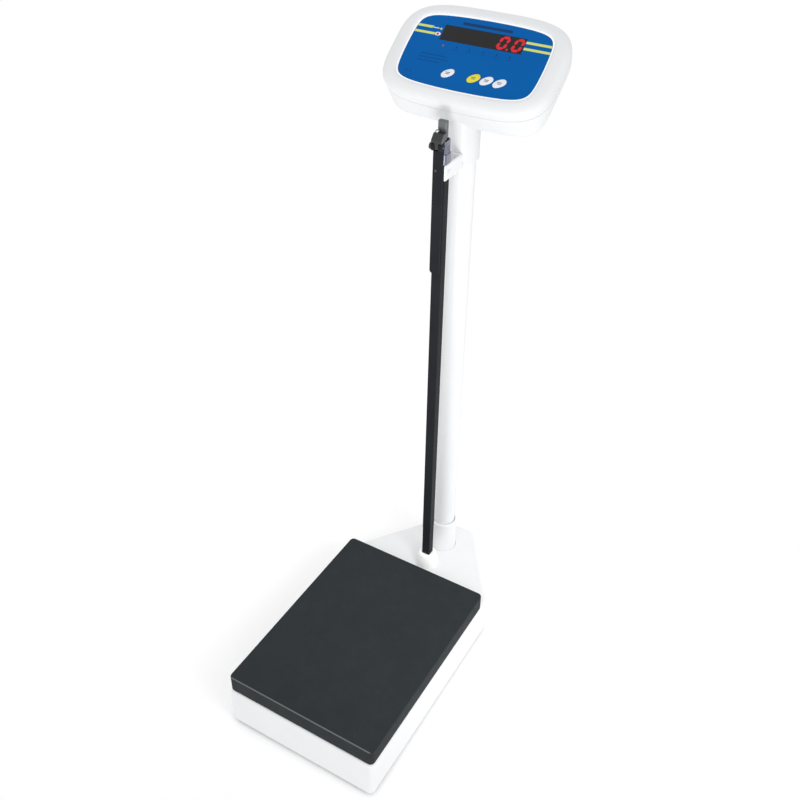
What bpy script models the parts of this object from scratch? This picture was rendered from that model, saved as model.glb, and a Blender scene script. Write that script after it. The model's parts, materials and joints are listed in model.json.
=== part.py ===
"""Digital physician column scale with a telescoping height rod.

Metres, +Z up. X runs across the scale, -Y is the front, where the person steps on.
The origin is on the floor, at the middle of the whole scale's width and depth.
"""

import math

import bmesh
import bpy
from mathutils import Matrix, Vector

# Driving dimensions, in metres.
GAP = 0.0003  # clearance between touching pieces

PLATFORM_WIDTH = 0.279
PLATFORM_DEPTH = 0.375
PLATFORM_CORNER = 0.008
MAT_THICKNESS = 0.0027
SKIRT_HEIGHT = 0.0312
SKIRT_CLEARANCE = 0.0025  # from the deck up to the mat's skirt
MAT_EDGE = 0.0030  # radius, more than the mat is thick
PLATE_SKIRT = 0.022
PLATE_THICKNESS = 0.002
PLATE_EDGE = 0.0025  # radius, more than the plate is thick

FLOOR_GAP = 0.007
BASE_HEIGHT = 0.074
BASE_SIDE_BORDER = 0.0010  # the base beyond the platform, each side
BASE_FRONT_BORDER = 0.0030
BASE_EDGE = 0.0050  # radius of the base's top edge
BASE_WALL = 0.002
BRIDGE_START = 0.205  # from the platform's centre, along Y
BRIDGE_END = 0.3515
BRIDGE_REAR_HALF = 0.038

COLUMN_Y = 0.1929  # puts the middle of the whole depth at Y = 0
COLUMN_SETBACK = 0.2958  # from the platform's centre to the column
COLUMN_RADIUS = 0.020
COLUMN_WALL = 0.002
COLUMN_TOP = 0.922
SOCKET_RADIUS = 0.0250
SOCKET_TOP = 0.1480
NECK_RADIUS = 0.0240
NECK_BOTTOM = 0.8730

ROD_SETBACK = 0.0631  # from the column forward to the height rod
ROD_HALF = 0.0080
ROD_WALL = 0.0012
ROD_BOTTOM = 0.1770
FOOT_HALF = 0.0077
ROD_TOP = 0.9025
BRACKET_BOTTOM = 0.8645
BRACKET_TOP = 0.8882
BRACKET_HALF = 0.0109
MIDDLE_HALF = 0.0064
MIDDLE_TOP = 0.9235
INNER_HALF = 0.0049
INNER_TOP = 0.9240
HEAD_PLATE_TOP = 0.9500

PIVOT_FORWARD = 0.0155  # from the rod's axis forward to the arm's pivot
PIVOT_Z = 0.9160
ARM_END = 0.7160
ARM_HALF = 0.0080
ARM_FRONT = 0.0136
ARM_BACK = 0.0106
BARREL_RADIUS = 0.0062
TONGUE_HALF = 0.0030  # the hinge block's tongue, in a slot in the arm's barrel

HEAD_TILT = math.radians(37.0)
HEAD_FORWARD = 0.0170  # from the column back to the middle of the face
HEAD_Z = 1.0137
HEAD_DEPTH = 0.056
INLET_BOTTOM = 0.9245
INLET_TOP = 0.9525
INLET_DEPTH = 0.0120
INLET_BORE = 0.0028  # takes a 5.5 mm plug
PART_LINE = 0.018  # depth where the front and rear shells meet
SHELL_WALL = 0.0025

# Places worked out from the driving dimensions.
PLATFORM_Y = COLUMN_Y - COLUMN_SETBACK
ROD_Y = COLUMN_Y - ROD_SETBACK
DECK_Z = FLOOR_GAP + BASE_HEIGHT
MAT_TOP = DECK_Z + SKIRT_CLEARANCE + SKIRT_HEIGHT
PLATE_TOP = MAT_TOP - MAT_THICKNESS - GAP
CHASSIS_BOTTOM = 0.010
CHASSIS_TOP = 0.014
FRAME_TOP = PLATE_TOP - PLATE_THICKNESS - GAP
FRAME_BOTTOM = FRAME_TOP - 0.012
CELL_BOTTOM = 0.0346
CELL_TOP = 0.0646
CELL_SIZE = (0.040, 0.150)
CELL_ENDS = 0.055
STOP_CLEARANCE = 0.0015

# Display window, keys and the parts behind the face, in the face's own axes.
WINDOW_CENTRE = (0.0013, 0.0289)
WINDOW_HALF = (0.0630, 0.0126)
KEY_ROW = -0.0338
KEY_PLACES = (-0.0252, 0.0150, 0.0347, 0.0544)
KEY_HALF = (0.0100, 0.0060)
KEY_TILT = math.radians(33.0)
KEY_POWER = 2.2
FILM_HALF = (0.1060, 0.0588)
FILM_POWER = 8.0
FILM_BULGE = (0.040, 0.090)  # how far its corners lie inside its middle, across and along
BOARD_Z = -0.0140
RING_POINTS = 40
KEY_POINTS = 16
FINE_POINTS = 720

SCENE = bpy.context.scene


def clear_scene():
    for obj in list(bpy.data.objects):
        bpy.data.objects.remove(obj, do_unlink=True)


def new_collection(name):
    made = bpy.data.collections.new(name)
    SCENE.collection.children.link(made)
    return made


def material(name, colour, roughness, metallic=0.0):
    made = bpy.data.materials.get(name) or bpy.data.materials.new(name)
    made.use_nodes = True
    shader = made.node_tree.nodes["Principled BSDF"]
    shader.inputs["Base Color"].default_value = (*colour, 1.0)
    shader.inputs["Roughness"].default_value = roughness
    shader.inputs["Metallic"].default_value = metallic
    made.diffuse_color = (*colour, 1.0)
    return made


def white_paint():
    return material("white_paint", (0.86, 0.87, 0.87), 0.35)


def white_plastic():
    return material("white_plastic", (0.85, 0.86, 0.86), 0.45)


def ivory_plastic():
    return material("ivory_plastic", (0.87, 0.88, 0.83), 0.5)


def black_rubber():
    return material("black_rubber", (0.034, 0.040, 0.043), 0.75)


def black_metal():
    return material("black_metal", (0.028, 0.030, 0.034), 0.4, 0.4)


def black_plastic():
    return material("black_plastic", (0.020, 0.020, 0.022), 0.5)


def chrome():
    return material("chrome", (0.80, 0.81, 0.83), 0.08, 1.0)


def steel():
    return material("steel", (0.55, 0.56, 0.58), 0.35, 1.0)


def aluminium():
    return material("aluminium", (0.60, 0.61, 0.63), 0.4, 1.0)


def blue_film():
    return material("blue_film", (0.0, 0.12, 0.40), 0.35)


def smoked_lens():
    return material("smoked_lens", (0.03, 0.03, 0.034), 0.15)


def board_green():
    return material("board_green", (0.02, 0.16, 0.06), 0.5)


def key_white():
    return material("key_white", (0.85, 0.87, 0.90), 0.4)


def key_yellow():
    return material("key_yellow", (0.80, 0.70, 0.04), 0.4)


# Building blocks.

def place(obj, stuff, parent=None):
    PARTS.objects.link(obj)
    if stuff is not None:
        obj.data.materials.append(stuff)
    obj.parent = parent
    return obj


def as_cutter(obj, parent=None):
    obj.hide_render = True
    obj.display_type = "WIRE"
    CUTTERS.objects.link(obj)
    obj.parent = parent
    return obj


def mesh_object(name, bm):
    bmesh.ops.recalc_face_normals(bm, faces=bm.faces)
    mesh = bpy.data.meshes.new(name)
    bm.to_mesh(mesh)
    bm.free()
    return bpy.data.objects.new(name, mesh)


def block(name, low, high):
    """A box between two corners, its origin in the middle."""
    low, high = Vector(low), Vector(high)
    bm = bmesh.new()
    bmesh.ops.create_cube(bm, size=1.0)
    bmesh.ops.scale(bm, vec=high - low, verts=bm.verts)
    obj = mesh_object(name, bm)
    obj.location = (low + high) / 2
    return obj


def cylinder(name, radius, start, end, sides=16):
    """A closed cylinder between two points, its origin halfway."""
    start, end = Vector(start), Vector(end)
    bm = bmesh.new()
    bmesh.ops.create_cone(
        bm, cap_ends=True, segments=sides, radius1=radius, radius2=radius,
        depth=(end - start).length,
    )
    obj = mesh_object(name, bm)
    obj.rotation_mode = "QUATERNION"
    obj.rotation_quaternion = (end - start).to_track_quat("Z", "Y")
    obj.location = (start + end) / 2
    smooth(obj)
    return obj


def turned(name, profile, location, sides=28):
    """A closed ring or disc: profile points (radius, height), outer side from the top down."""
    bm = bmesh.new()
    points = [bm.verts.new((r, 0.0, z)) for r, z in profile]
    for first, second in zip(points, points[1:]):
        bm.edges.new((first, second))
    if profile[0][0] > 0:
        bm.edges.new((points[-1], points[0]))
    mesh = bpy.data.meshes.new(name)
    bm.to_mesh(mesh)
    bm.free()
    obj = bpy.data.objects.new(name, mesh)
    obj.location = location
    screw = obj.modifiers.new("turn", "SCREW")
    screw.steps = sides
    screw.render_steps = sides
    screw.use_merge_vertices = True
    screw.merge_threshold = 0.00001
    screw.use_normal_calculate = False
    return obj


def smooth(obj, angle=40.0):
    obj.data.shade_smooth()
    obj.data.set_sharp_from_angle(angle=math.radians(angle))


def bevel(obj, width, segments=2, angle=35.0):
    made = obj.modifiers.new("rounded_edges", "BEVEL")
    made.width = width
    made.segments = segments
    made.limit_method = "ANGLE"
    made.angle_limit = math.radians(angle)
    return made


def cut(obj, cutter, operation="DIFFERENCE"):
    made = obj.modifiers.new(cutter.name, "BOOLEAN")
    made.operation = operation
    made.object = cutter
    made.solver = "EXACT"
    return made


def rounded(corners, radii, steps=3):
    """The corners of a convex outline, counter-clockwise, each turned into an arc."""
    points = []
    count = len(corners)
    for i, (corner, radius) in enumerate(zip(corners, radii)):
        here = Vector(corner)
        before = (Vector(corners[i - 1]) - here).normalized()
        after = (Vector(corners[(i + 1) % count]) - here).normalized()
        half = before.angle(after) / 2
        centre = here + (before + after).normalized() * (radius / math.sin(half))
        start = here + before * (radius / math.tan(half)) - centre
        sweep = math.pi - 2 * half
        for step in range(steps + 1):
            turn = Matrix.Rotation(sweep * step / steps, 2)
            points.append(centre + turn @ start)
    return points


def inset_corners(corners, inset):
    """A convex outline's corners moved in by the same distance from every side."""
    moved = []
    count = len(corners)
    for i in range(count):
        here = Vector(corners[i])
        before = (here - Vector(corners[i - 1])).normalized()
        after = (Vector(corners[(i + 1) % count]) - here).normalized()
        inward = Vector((-before.y - after.y, before.x + after.x)).normalized()
        side = Vector((-before.y, before.x))
        moved.append(here + inward * (inset / inward.dot(side)))
    return moved


def rectangle(half_x, half_y, centre=(0.0, 0.0)):
    x, y = centre
    return [
        (x - half_x, y - half_y), (x + half_x, y - half_y),
        (x + half_x, y + half_y), (x - half_x, y + half_y),
    ]


def outline_plate(name, outlines, low, high):
    """A flat plate from a 2D curve: the first outline is its edge, the others are holes."""
    curve = bpy.data.curves.new(name, "CURVE")
    curve.dimensions = "2D"
    curve.fill_mode = "BOTH"
    curve.extrude = (high - low) / 2
    for points in outlines:
        spline = curve.splines.new("POLY")
        spline.points.add(len(points) - 1)
        for target, point in zip(spline.points, points):
            target.co = (point[0], point[1], 0.0, 1.0)
        spline.use_cyclic_u = True
    guide = bpy.data.objects.new(name + "_outline", curve)
    SCENE.collection.objects.link(guide)
    bpy.context.view_layer.update()
    graph = bpy.context.evaluated_depsgraph_get()
    mesh = bpy.data.meshes.new_from_object(guide.evaluated_get(graph))
    bpy.data.objects.remove(guide)
    bm = bmesh.new()
    bm.from_mesh(mesh)
    bmesh.ops.remove_doubles(bm, verts=bm.verts, dist=0.00001)
    bmesh.ops.recalc_face_normals(bm, faces=bm.faces)
    bm.to_mesh(mesh)
    bm.free()
    mesh.name = name
    mesh.materials.clear()
    obj = bpy.data.objects.new(name, mesh)
    obj.location = (0.0, 0.0, (low + high) / 2)
    return obj


def pan(name, outline, top, depth, wall, edge_radius):
    """An upside-down tray: a flat top with walls hanging from its edge, open below."""
    bm = bmesh.new()
    rim = [bm.verts.new((p[0], p[1], 0.0)) for p in outline]
    lid = bm.faces.new(rim)
    grown = bmesh.ops.extrude_edge_only(bm, edges=lid.edges[:])["geom"]
    lower = [v for v in grown if isinstance(v, bmesh.types.BMVert)]
    bmesh.ops.translate(bm, vec=(0.0, 0.0, -depth), verts=lower)
    bmesh.ops.recalc_face_normals(bm, faces=bm.faces)
    if lid.normal.z < 0:
        bmesh.ops.reverse_faces(bm, faces=bm.faces)
    mesh = bpy.data.meshes.new(name)
    bm.to_mesh(mesh)
    bm.free()
    obj = bpy.data.objects.new(name, mesh)
    obj.location = (0.0, 0.0, top)
    bevel(obj, edge_radius, 2, 60.0)
    shell = obj.modifiers.new("wall", "SOLIDIFY")
    shell.thickness = wall
    shell.offset = -1.0
    shell.use_even_offset = True
    return obj


def oval(half_x, half_y, power, count, centre=(0.0, 0.0)):
    """A superellipse: power 2 is an ellipse, and a higher power nears a rectangle."""
    points = []
    for i in range(count):
        angle = 2 * math.pi * i / count
        c, s = math.cos(angle), math.sin(angle)
        x = math.copysign(abs(c) ** (2 / power), c) * half_x
        y = math.copysign(abs(s) ** (2 / power), s) * half_y
        points.append((centre[0] + x, centre[1] + y))
    return points


def evenly(points, count):
    """The same closed outline, resampled to count points at equal steps along it."""
    lengths = [0.0]
    for first, second in zip(points, points[1:] + points[:1]):
        lengths.append(lengths[-1] + math.dist(first, second))
    made = []
    index = 0
    for i in range(count):
        target = lengths[-1] * i / count
        while lengths[index + 1] < target:
            index += 1
        share = (target - lengths[index]) / (lengths[index + 1] - lengths[index])
        first, second = points[index], points[(index + 1) % len(points)]
        made.append(tuple(a + (b - a) * share for a, b in zip(first, second)))
    return made


def head_outline(half_x, top, bottom, power, bulge=(0.0, 0.0), count=RING_POINTS):
    """A superellipse between two heights on the face, its sides bulging out between its corners."""
    half_y, middle = (top - bottom) / 2, (top + bottom) / 2
    points = []
    for x, y in oval(half_x, half_y, power, FINE_POINTS):
        across = x * (1 - bulge[0] * (y / half_y) ** 2)
        along = y * (1 - bulge[1] * (x / half_x) ** 2)
        points.append((across, middle + along))
    return evenly(points, count)


def film_outline(grow, count=RING_POINTS):
    """The printed film's outline, grown by a distance."""
    half_x, half_y = FILM_HALF[0] + grow, FILM_HALF[1] + grow
    return head_outline(half_x, half_y, -half_y, FILM_POWER, FILM_BULGE, count)


def key_outline(grow, centre=(0.0, 0.0)):
    """A key's slanted oval, grown by a distance."""
    c, s = math.cos(KEY_TILT), math.sin(KEY_TILT)
    points = oval(KEY_HALF[0] + grow, KEY_HALF[1] + grow, KEY_POWER, KEY_POINTS)
    return [(centre[0] + x * c - y * s, centre[1] + x * s + y * c) for x, y in points]


def loft(name, rings, close_first, close_last):
    """Walls through rings of equal point counts, each ring (points, height)."""
    bm = bmesh.new()
    rows = [[bm.verts.new((x, y, z)) for x, y in points] for points, z in rings]
    for lower, upper in zip(rows, rows[1:]):
        for i in range(len(lower)):
            j = (i + 1) % len(lower)
            bm.faces.new((lower[i], lower[j], upper[j], upper[i]))
    if close_first:
        bm.faces.new(rows[0][::-1])
    if close_last:
        bm.faces.new(rows[-1])
    mesh = bpy.data.meshes.new(name)
    bm.to_mesh(mesh)
    bm.free()
    return bpy.data.objects.new(name, mesh)


def square(half, corner, steps=2):
    return rounded(rectangle(half, half), [corner] * 4, steps)


def square_tube(name, half, wall, corner, low, high):
    """A vertical square tube on the height rod's axis."""
    outer = square(half, corner)
    inner = square(half - wall, max(corner - wall, 0.0004))
    obj = outline_plate(name, [outer, inner], low, high)
    obj.location.y = ROD_Y
    return obj


# Base.

def base_corners(inset=0.0):
    half = PLATFORM_WIDTH / 2 + BASE_SIDE_BORDER
    front = PLATFORM_Y - PLATFORM_DEPTH / 2 - BASE_FRONT_BORDER
    shoulder = PLATFORM_Y + BRIDGE_START
    rear = PLATFORM_Y + BRIDGE_END
    corners = [
        (-half, front), (half, front), (half, shoulder),
        (BRIDGE_REAR_HALF, rear), (-BRIDGE_REAR_HALF, rear), (-half, shoulder),
    ]
    return inset_corners(corners, inset) if inset else corners


def base_outline(inset=0.0):
    radii = [max(r - inset, 0.002) for r in (0.009, 0.009, 0.020, 0.012, 0.012, 0.020)]
    return rounded(base_corners(inset), radii)


def build_base_cover():
    cover = pan("base_cover", base_outline(), DECK_Z, BASE_HEIGHT, BASE_WALL, BASE_EDGE)
    opening = as_cutter(block(
        "deck_opening_cut",
        (-0.105, PLATFORM_Y - 0.150, DECK_Z - 0.02),
        (0.105, PLATFORM_Y + 0.150, DECK_Z + 0.02),
    ))
    column_hole = as_cutter(cylinder(
        "column_hole_cut", SOCKET_RADIUS + 0.0004,
        (0.0, COLUMN_Y, DECK_Z - 0.02), (0.0, COLUMN_Y, DECK_Z + 0.02), 28,
    ))
    rod_hole = as_cutter(cylinder(
        "rod_hole_cut", 0.0104,
        (0.0, ROD_Y, DECK_Z - 0.02), (0.0, ROD_Y, DECK_Z + 0.02),
    ))
    for cutter in (opening, column_hole, rod_hole):
        cut(cover, cutter)
    return place(cover, white_paint())


def build_chassis():
    plate = outline_plate(
        "chassis_plate", [base_outline(BASE_WALL + 0.0006)], CHASSIS_BOTTOM, CHASSIS_TOP
    )
    for name, (x, y) in foot_places().items():
        cut(plate, as_cutter(cylinder(
            name + "_hole_cut", 0.0044, (x, y, 0.0), (x, y, 0.03),
        )))
    for name, x, y in lower_cell_bolts():
        cut(plate, as_cutter(cylinder(
            name + "_hole_cut", 0.0036, (x, y, 0.0), (x, y, 0.03), 8,
        )))
    for name, x, y in column_bolt_places():
        cut(plate, as_cutter(cylinder(
            name + "_hole_cut", 0.0036, (x, y, 0.0), (x, y, 0.03), 8,
        )))
    for name, x, y in stop_places():
        cut(plate, as_cutter(cylinder(
            name, 0.006, (x, y, CHASSIS_BOTTOM + 0.001), (x, y, FRAME_BOTTOM - STOP_CLEARANCE), 12,
        )), "UNION")
    return place(plate, steel())


def stop_places():
    """Posts welded to the chassis, which the platform would meet if it were overloaded."""
    return [
        ("overload_stop_%d_%d" % (across, along), across * 0.085, PLATFORM_Y + along * 0.130)
        for across in (-1, 1) for along in (-1, 1)
    ]


def foot_places():
    x = 0.112
    front = PLATFORM_Y - 0.160
    rear = PLATFORM_Y + 0.180
    return {
        "front_left": (-x, front), "front_right": (x, front),
        "rear_left": (-x, rear), "rear_right": (x, rear),
    }


def build_feet():
    """Levelling feet: a rubber pad on a steel disc with a threaded stud and a lock nut."""
    for side, (x, y) in foot_places().items():
        pad = turned(
            "foot_pad_" + side,
            [(0.0, 0.0060), (0.0150, 0.0060), (0.0170, 0.0045), (0.0170, 0.0), (0.0, 0.0)],
            (x, y, 0.0), 16,
        )
        place(pad, black_rubber())
        stud = turned(
            "foot_stud_" + side,
            [
                (0.0, 0.0300), (0.0035, 0.0300), (0.0040, 0.0290), (0.0040, 0.0090),
                (0.0080, 0.0090), (0.0080, 0.0063), (0.0, 0.0063),
            ],
            (x, y, 0.0), 12,
        )
        place(stud, steel())


def cell_end(sign):
    return PLATFORM_Y + sign * CELL_ENDS


def lower_cell_bolts():
    return [("cell_bolt_lower", 0.0, cell_end(-1))]


def upper_cell_bolts():
    return [("cell_bolt_upper", 0.0, cell_end(1))]


def build_load_cell():
    """A single-point load cell: a bar on one spacer, carrying the platform on the other."""
    half_x, half_y = CELL_SIZE[0] / 2, CELL_SIZE[1] / 2
    cell = block(
        "load_cell",
        (-half_x, PLATFORM_Y - half_y, CELL_BOTTOM), (half_x, PLATFORM_Y + half_y, CELL_TOP),
    )
    bevel(cell, 0.001, 1)
    middle = (CELL_BOTTOM + CELL_TOP) / 2
    for side, offset in (("front", -0.016), ("rear", 0.016)):
        cut(cell, as_cutter(cylinder(
            "cell_bore_cut_" + side, 0.0110,
            (-0.03, PLATFORM_Y + offset, middle), (0.03, PLATFORM_Y + offset, middle),
        )))
    cut(cell, as_cutter(block(
        "cell_slot_cut",
        (-0.03, PLATFORM_Y - 0.016, middle - 0.002), (0.03, PLATFORM_Y + 0.016, middle + 0.002),
    )))
    place(cell, aluminium())

    lower = block(
        "cell_spacer_lower",
        (-half_x, cell_end(-1) - 0.020, CHASSIS_TOP + GAP),
        (half_x, cell_end(-1) + 0.020, CELL_BOTTOM - GAP),
    )
    upper = block(
        "cell_spacer_upper",
        (-half_x, cell_end(1) - 0.020, CELL_TOP + GAP),
        (half_x, cell_end(1) + 0.020, FRAME_BOTTOM - GAP),
    )
    for name, x, y in lower_cell_bolts():
        hole = as_cutter(cylinder(name + "_bore_cut", 0.0036, (x, y, 0.008), (x, y, 0.053), 8))
        cut(lower, hole)
        cut(cell, hole)
        place(bolt(name, x, y, CHASSIS_BOTTOM - GAP, 1, 0.038), steel())
    for name, x, y in upper_cell_bolts():
        hole = as_cutter(cylinder(name + "_bore_cut", 0.0036, (x, y, 0.046), (x, y, 0.120), 8))
        cut(upper, hole)
        cut(cell, hole)
        place(bolt(name, x, y, FRAME_BOTTOM + 0.005 + GAP, -1, 0.046), steel())
    place(lower, steel())
    place(upper, steel())


def bolt(name, x, y, seat, direction, length):
    """A bolt whose head is under or on its seat; direction 1 points its shank up."""
    head, shank = 0.0026, 0.0030
    profile = [
        (0.0, length), (shank, length), (shank, 0.0), (0.0058, 0.0), (0.0058, -head), (0.0, -head),
    ]
    obj = turned(name, profile, (x, y, seat), 6)
    if direction < 0:
        obj.rotation_euler = (math.pi, 0.0, 0.0)
    return obj


def build_platform():
    frame = outline_plate(
        "platform_frame",
        [rounded(rectangle(0.095, 0.140, (0.0, PLATFORM_Y)), [0.012] * 4, 3)],
        FRAME_BOTTOM, FRAME_TOP,
    )
    for across in (-0.055, 0.055):
        for along in (-0.075, 0.075):
            centre = (across, PLATFORM_Y + along)
            cut(frame, as_cutter(outline_plate(
                "frame_window_%+.3f_%+.3f" % (across, along),
                [rounded(rectangle(0.028, 0.045, centre), [0.008] * 4, 2)],
                FRAME_BOTTOM - 0.01, FRAME_TOP + 0.01,
            )))
    for name, x, y in upper_cell_bolts():
        cut(frame, as_cutter(cylinder(
            name + "_frame_cut", 0.0036, (x, y, FRAME_BOTTOM - 0.01), (x, y, FRAME_TOP + 0.01), 8,
        )))
        cut(frame, as_cutter(cylinder(
            name + "_head_cut", 0.0068, (x, y, FRAME_BOTTOM + 0.005), (x, y, FRAME_TOP + 0.01), 12,
        )))
    place(frame, steel())

    inset = MAT_THICKNESS + GAP
    plate_outline = rounded(
        rectangle(PLATFORM_WIDTH / 2 - inset, PLATFORM_DEPTH / 2 - inset, (0.0, PLATFORM_Y)),
        [PLATFORM_CORNER - inset] * 4,
    )
    place(pan("platform_plate", plate_outline, PLATE_TOP, PLATE_SKIRT, PLATE_THICKNESS, PLATE_EDGE), steel())

    mat_outline = rounded(
        rectangle(PLATFORM_WIDTH / 2, PLATFORM_DEPTH / 2, (0.0, PLATFORM_Y)),
        [PLATFORM_CORNER] * 4,
    )
    place(pan("rubber_mat", mat_outline, MAT_TOP, SKIRT_HEIGHT, MAT_THICKNESS, MAT_EDGE), black_rubber())


# Column.

def column_bolt_places():
    reach = 0.0330
    places = []
    for number in range(4):
        angle = math.pi / 4 + number * math.pi / 2
        places.append((
            "column_bolt_%d" % (number + 1),
            reach * math.cos(angle), COLUMN_Y + reach * math.sin(angle),
        ))
    return places


def build_column():
    socket = turned(
        "column_socket",
        [
            (0.0235, SOCKET_TOP), (SOCKET_RADIUS, SOCKET_TOP - 0.0015), (SOCKET_RADIUS, 0.0225),
            (0.0410, 0.0225), (0.0410, CHASSIS_TOP + GAP), (0.0208, CHASSIS_TOP + GAP),
            (0.0208, SOCKET_TOP - 0.0015), (0.0216, SOCKET_TOP),
        ],
        (0.0, COLUMN_Y, 0.0),
    )
    cut(socket, as_cutter(cylinder(
        "cable_entry_cut", 0.0050, (0.0, COLUMN_Y - 0.060, 0.0400), (0.0, COLUMN_Y, 0.0400), 12,
    )))
    for name, x, y in column_bolt_places():
        cut(socket, as_cutter(cylinder(
            name + "_flange_cut", 0.0036, (x, y, 0.005), (x, y, 0.030), 8,
        )))
        screw = bolt(name, x, y, 0.0225 + GAP, -1, 0.0155)
        place(screw, steel())
    place(socket, white_paint())

    inner = COLUMN_RADIUS - COLUMN_WALL
    tube = turned(
        "column_tube",
        [(COLUMN_RADIUS, COLUMN_TOP), (COLUMN_RADIUS, 0.060), (inner, 0.060), (inner, COLUMN_TOP)],
        (0.0, COLUMN_Y, 0.0),
    )
    place(tube, white_paint())


def build_neck():
    """The sleeve that joins the head to the column, its top cut to the head's underside."""
    bore = COLUMN_RADIUS + 0.0004
    neck = turned(
        "head_neck",
        [
            (NECK_RADIUS, 0.975), (NECK_RADIUS, NECK_BOTTOM + 0.003),
            (0.0212, NECK_BOTTOM), (bore, NECK_BOTTOM), (bore, COLUMN_TOP + GAP),
            (0.0150, COLUMN_TOP + GAP), (0.0150, 0.975),
        ],
        (0.0, COLUMN_Y, 0.0),
    )
    cut(neck, as_cutter(head_proxy(), HEAD))
    place(neck, white_plastic())


# Height rod.

def build_rod_socket():
    socket = turned(
        "rod_socket",
        [
            (0.0, 0.1110), (0.0128, 0.1110), (0.0152, 0.1092), (0.0196, 0.0960), (0.0215, DECK_Z + GAP),
            (0.0100, DECK_Z + GAP), (0.0100, DECK_Z - 0.0100), (0.0, DECK_Z - 0.0100),
        ],
        (0.0, ROD_Y, 0.0), 24,
    )
    hole = outline_plate("rod_socket_hole_cut", [square(FOOT_HALF + GAP, 0.0015)], 0.0920, 0.1300)
    hole.location.y = ROD_Y
    cut(socket, as_cutter(hole))
    place(socket, ivory_plastic())

    cut_bore = as_cutter(cylinder(
        "rod_socket_nut_cut", 0.0104, (0.0, ROD_Y, 0.05), (0.0, ROD_Y, 0.09), 24,
    ))
    nut = cylinder(
        "rod_socket_nut", 0.0160,
        (0.0, ROD_Y, DECK_Z - 0.0075), (0.0, ROD_Y, DECK_Z - BASE_WALL - GAP), 6,
    )
    cut(nut, cut_bore)
    place(nut, steel())


def build_rods():
    """Outer tube on its foot, then the middle tube and the inner rod that telescope out."""
    foot = outline_plate("rod_foot", [square(FOOT_HALF, 0.0014)], 0.0923, ROD_BOTTOM - GAP)
    foot.location.y = ROD_Y
    spigot = outline_plate("rod_foot_spigot_join", [square(0.0065, 0.0012)], 0.1700, 0.2000)
    spigot.location.y = ROD_Y
    cut(foot, as_cutter(spigot), "UNION")
    place(foot, black_plastic())
    place(square_tube("outer_rod", ROD_HALF, ROD_WALL, 0.0014, ROD_BOTTOM, ROD_TOP), black_metal())
    middle = square_tube("middle_rod", MIDDLE_HALF, 0.0011, 0.0011, 0.2100, MIDDLE_TOP)
    place(middle, black_metal())
    inner = outline_plate("inner_rod", [square(INNER_HALF, 0.0008, 2)], 0.2150, INNER_TOP)
    inner.location.y = ROD_Y
    place(inner, aluminium())


def build_rod_fittings():
    ferrule = outline_plate(
        "rod_ferrule", [square(0.0100, 0.0045, 3), square(ROD_HALF + GAP, 0.0016)],
        BRACKET_TOP + GAP, ROD_TOP + GAP
    )
    ferrule.location.y = ROD_Y
    place(ferrule, chrome())
    collar = outline_plate(
        "rod_collar", [square(0.0088, 0.0040, 3), square(MIDDLE_HALF + GAP, 0.0012)], 0.9030, 0.9220
    )
    collar.location.y = ROD_Y
    place(collar, chrome())

    bracket = block(
        "rod_bracket",
        (-BRACKET_HALF, ROD_Y - 0.0100, BRACKET_BOTTOM), (BRACKET_HALF, COLUMN_Y - 0.0100, BRACKET_TOP),
    )
    bevel(bracket, 0.0020, 2)
    channel = as_cutter(block(
        "bracket_channel_cut",
        (-0.0084, ROD_Y - 0.0300, 0.85), (0.0084, ROD_Y + ROD_HALF + 0.0004, 0.90),
    ))
    pocket = as_cutter(block(
        "bracket_pocket_cut",
        (-0.0084, ROD_Y + ROD_HALF + 0.0030, 0.85), (0.0084, COLUMN_Y - 0.0280, 0.90),
    ))
    saddle = as_cutter(cylinder(
        "bracket_saddle_cut", COLUMN_RADIUS + GAP,
        (0.0, COLUMN_Y, 0.85), (0.0, COLUMN_Y, 0.90), 28,
    ))
    neck_room = as_cutter(cylinder(
        "bracket_neck_cut", NECK_RADIUS + GAP,
        (0.0, COLUMN_Y, NECK_BOTTOM - GAP), (0.0, COLUMN_Y, 0.90), 28,
    ))
    for cutter in (channel, pocket, saddle, neck_room):
        cut(bracket, cutter)
    place(bracket, white_paint())
    for side, sign in (("left", -1), ("right", 1)):
        outside = sign * (BRACKET_HALF + GAP)
        place(cylinder(
            "bracket_screw_" + side, 0.0026,
            (outside, ROD_Y, 0.8764), (outside + sign * 0.0012, ROD_Y, 0.8764), 12,
        ), white_paint())


def side_plate(name, outline, half_width, centre_x=0.0):
    """A plate whose outline is drawn in the YZ plane, centred on centre_x."""
    obj = outline_plate(name, [outline], -half_width, half_width)
    obj.matrix_world = Matrix.Translation((centre_x, 0.0, 0.0)) @ Matrix(
        ((0, 0, 1, 0), (1, 0, 0, 0), (0, 1, 0, 0), (0, 0, 0, 1))
    )
    return obj


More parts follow.
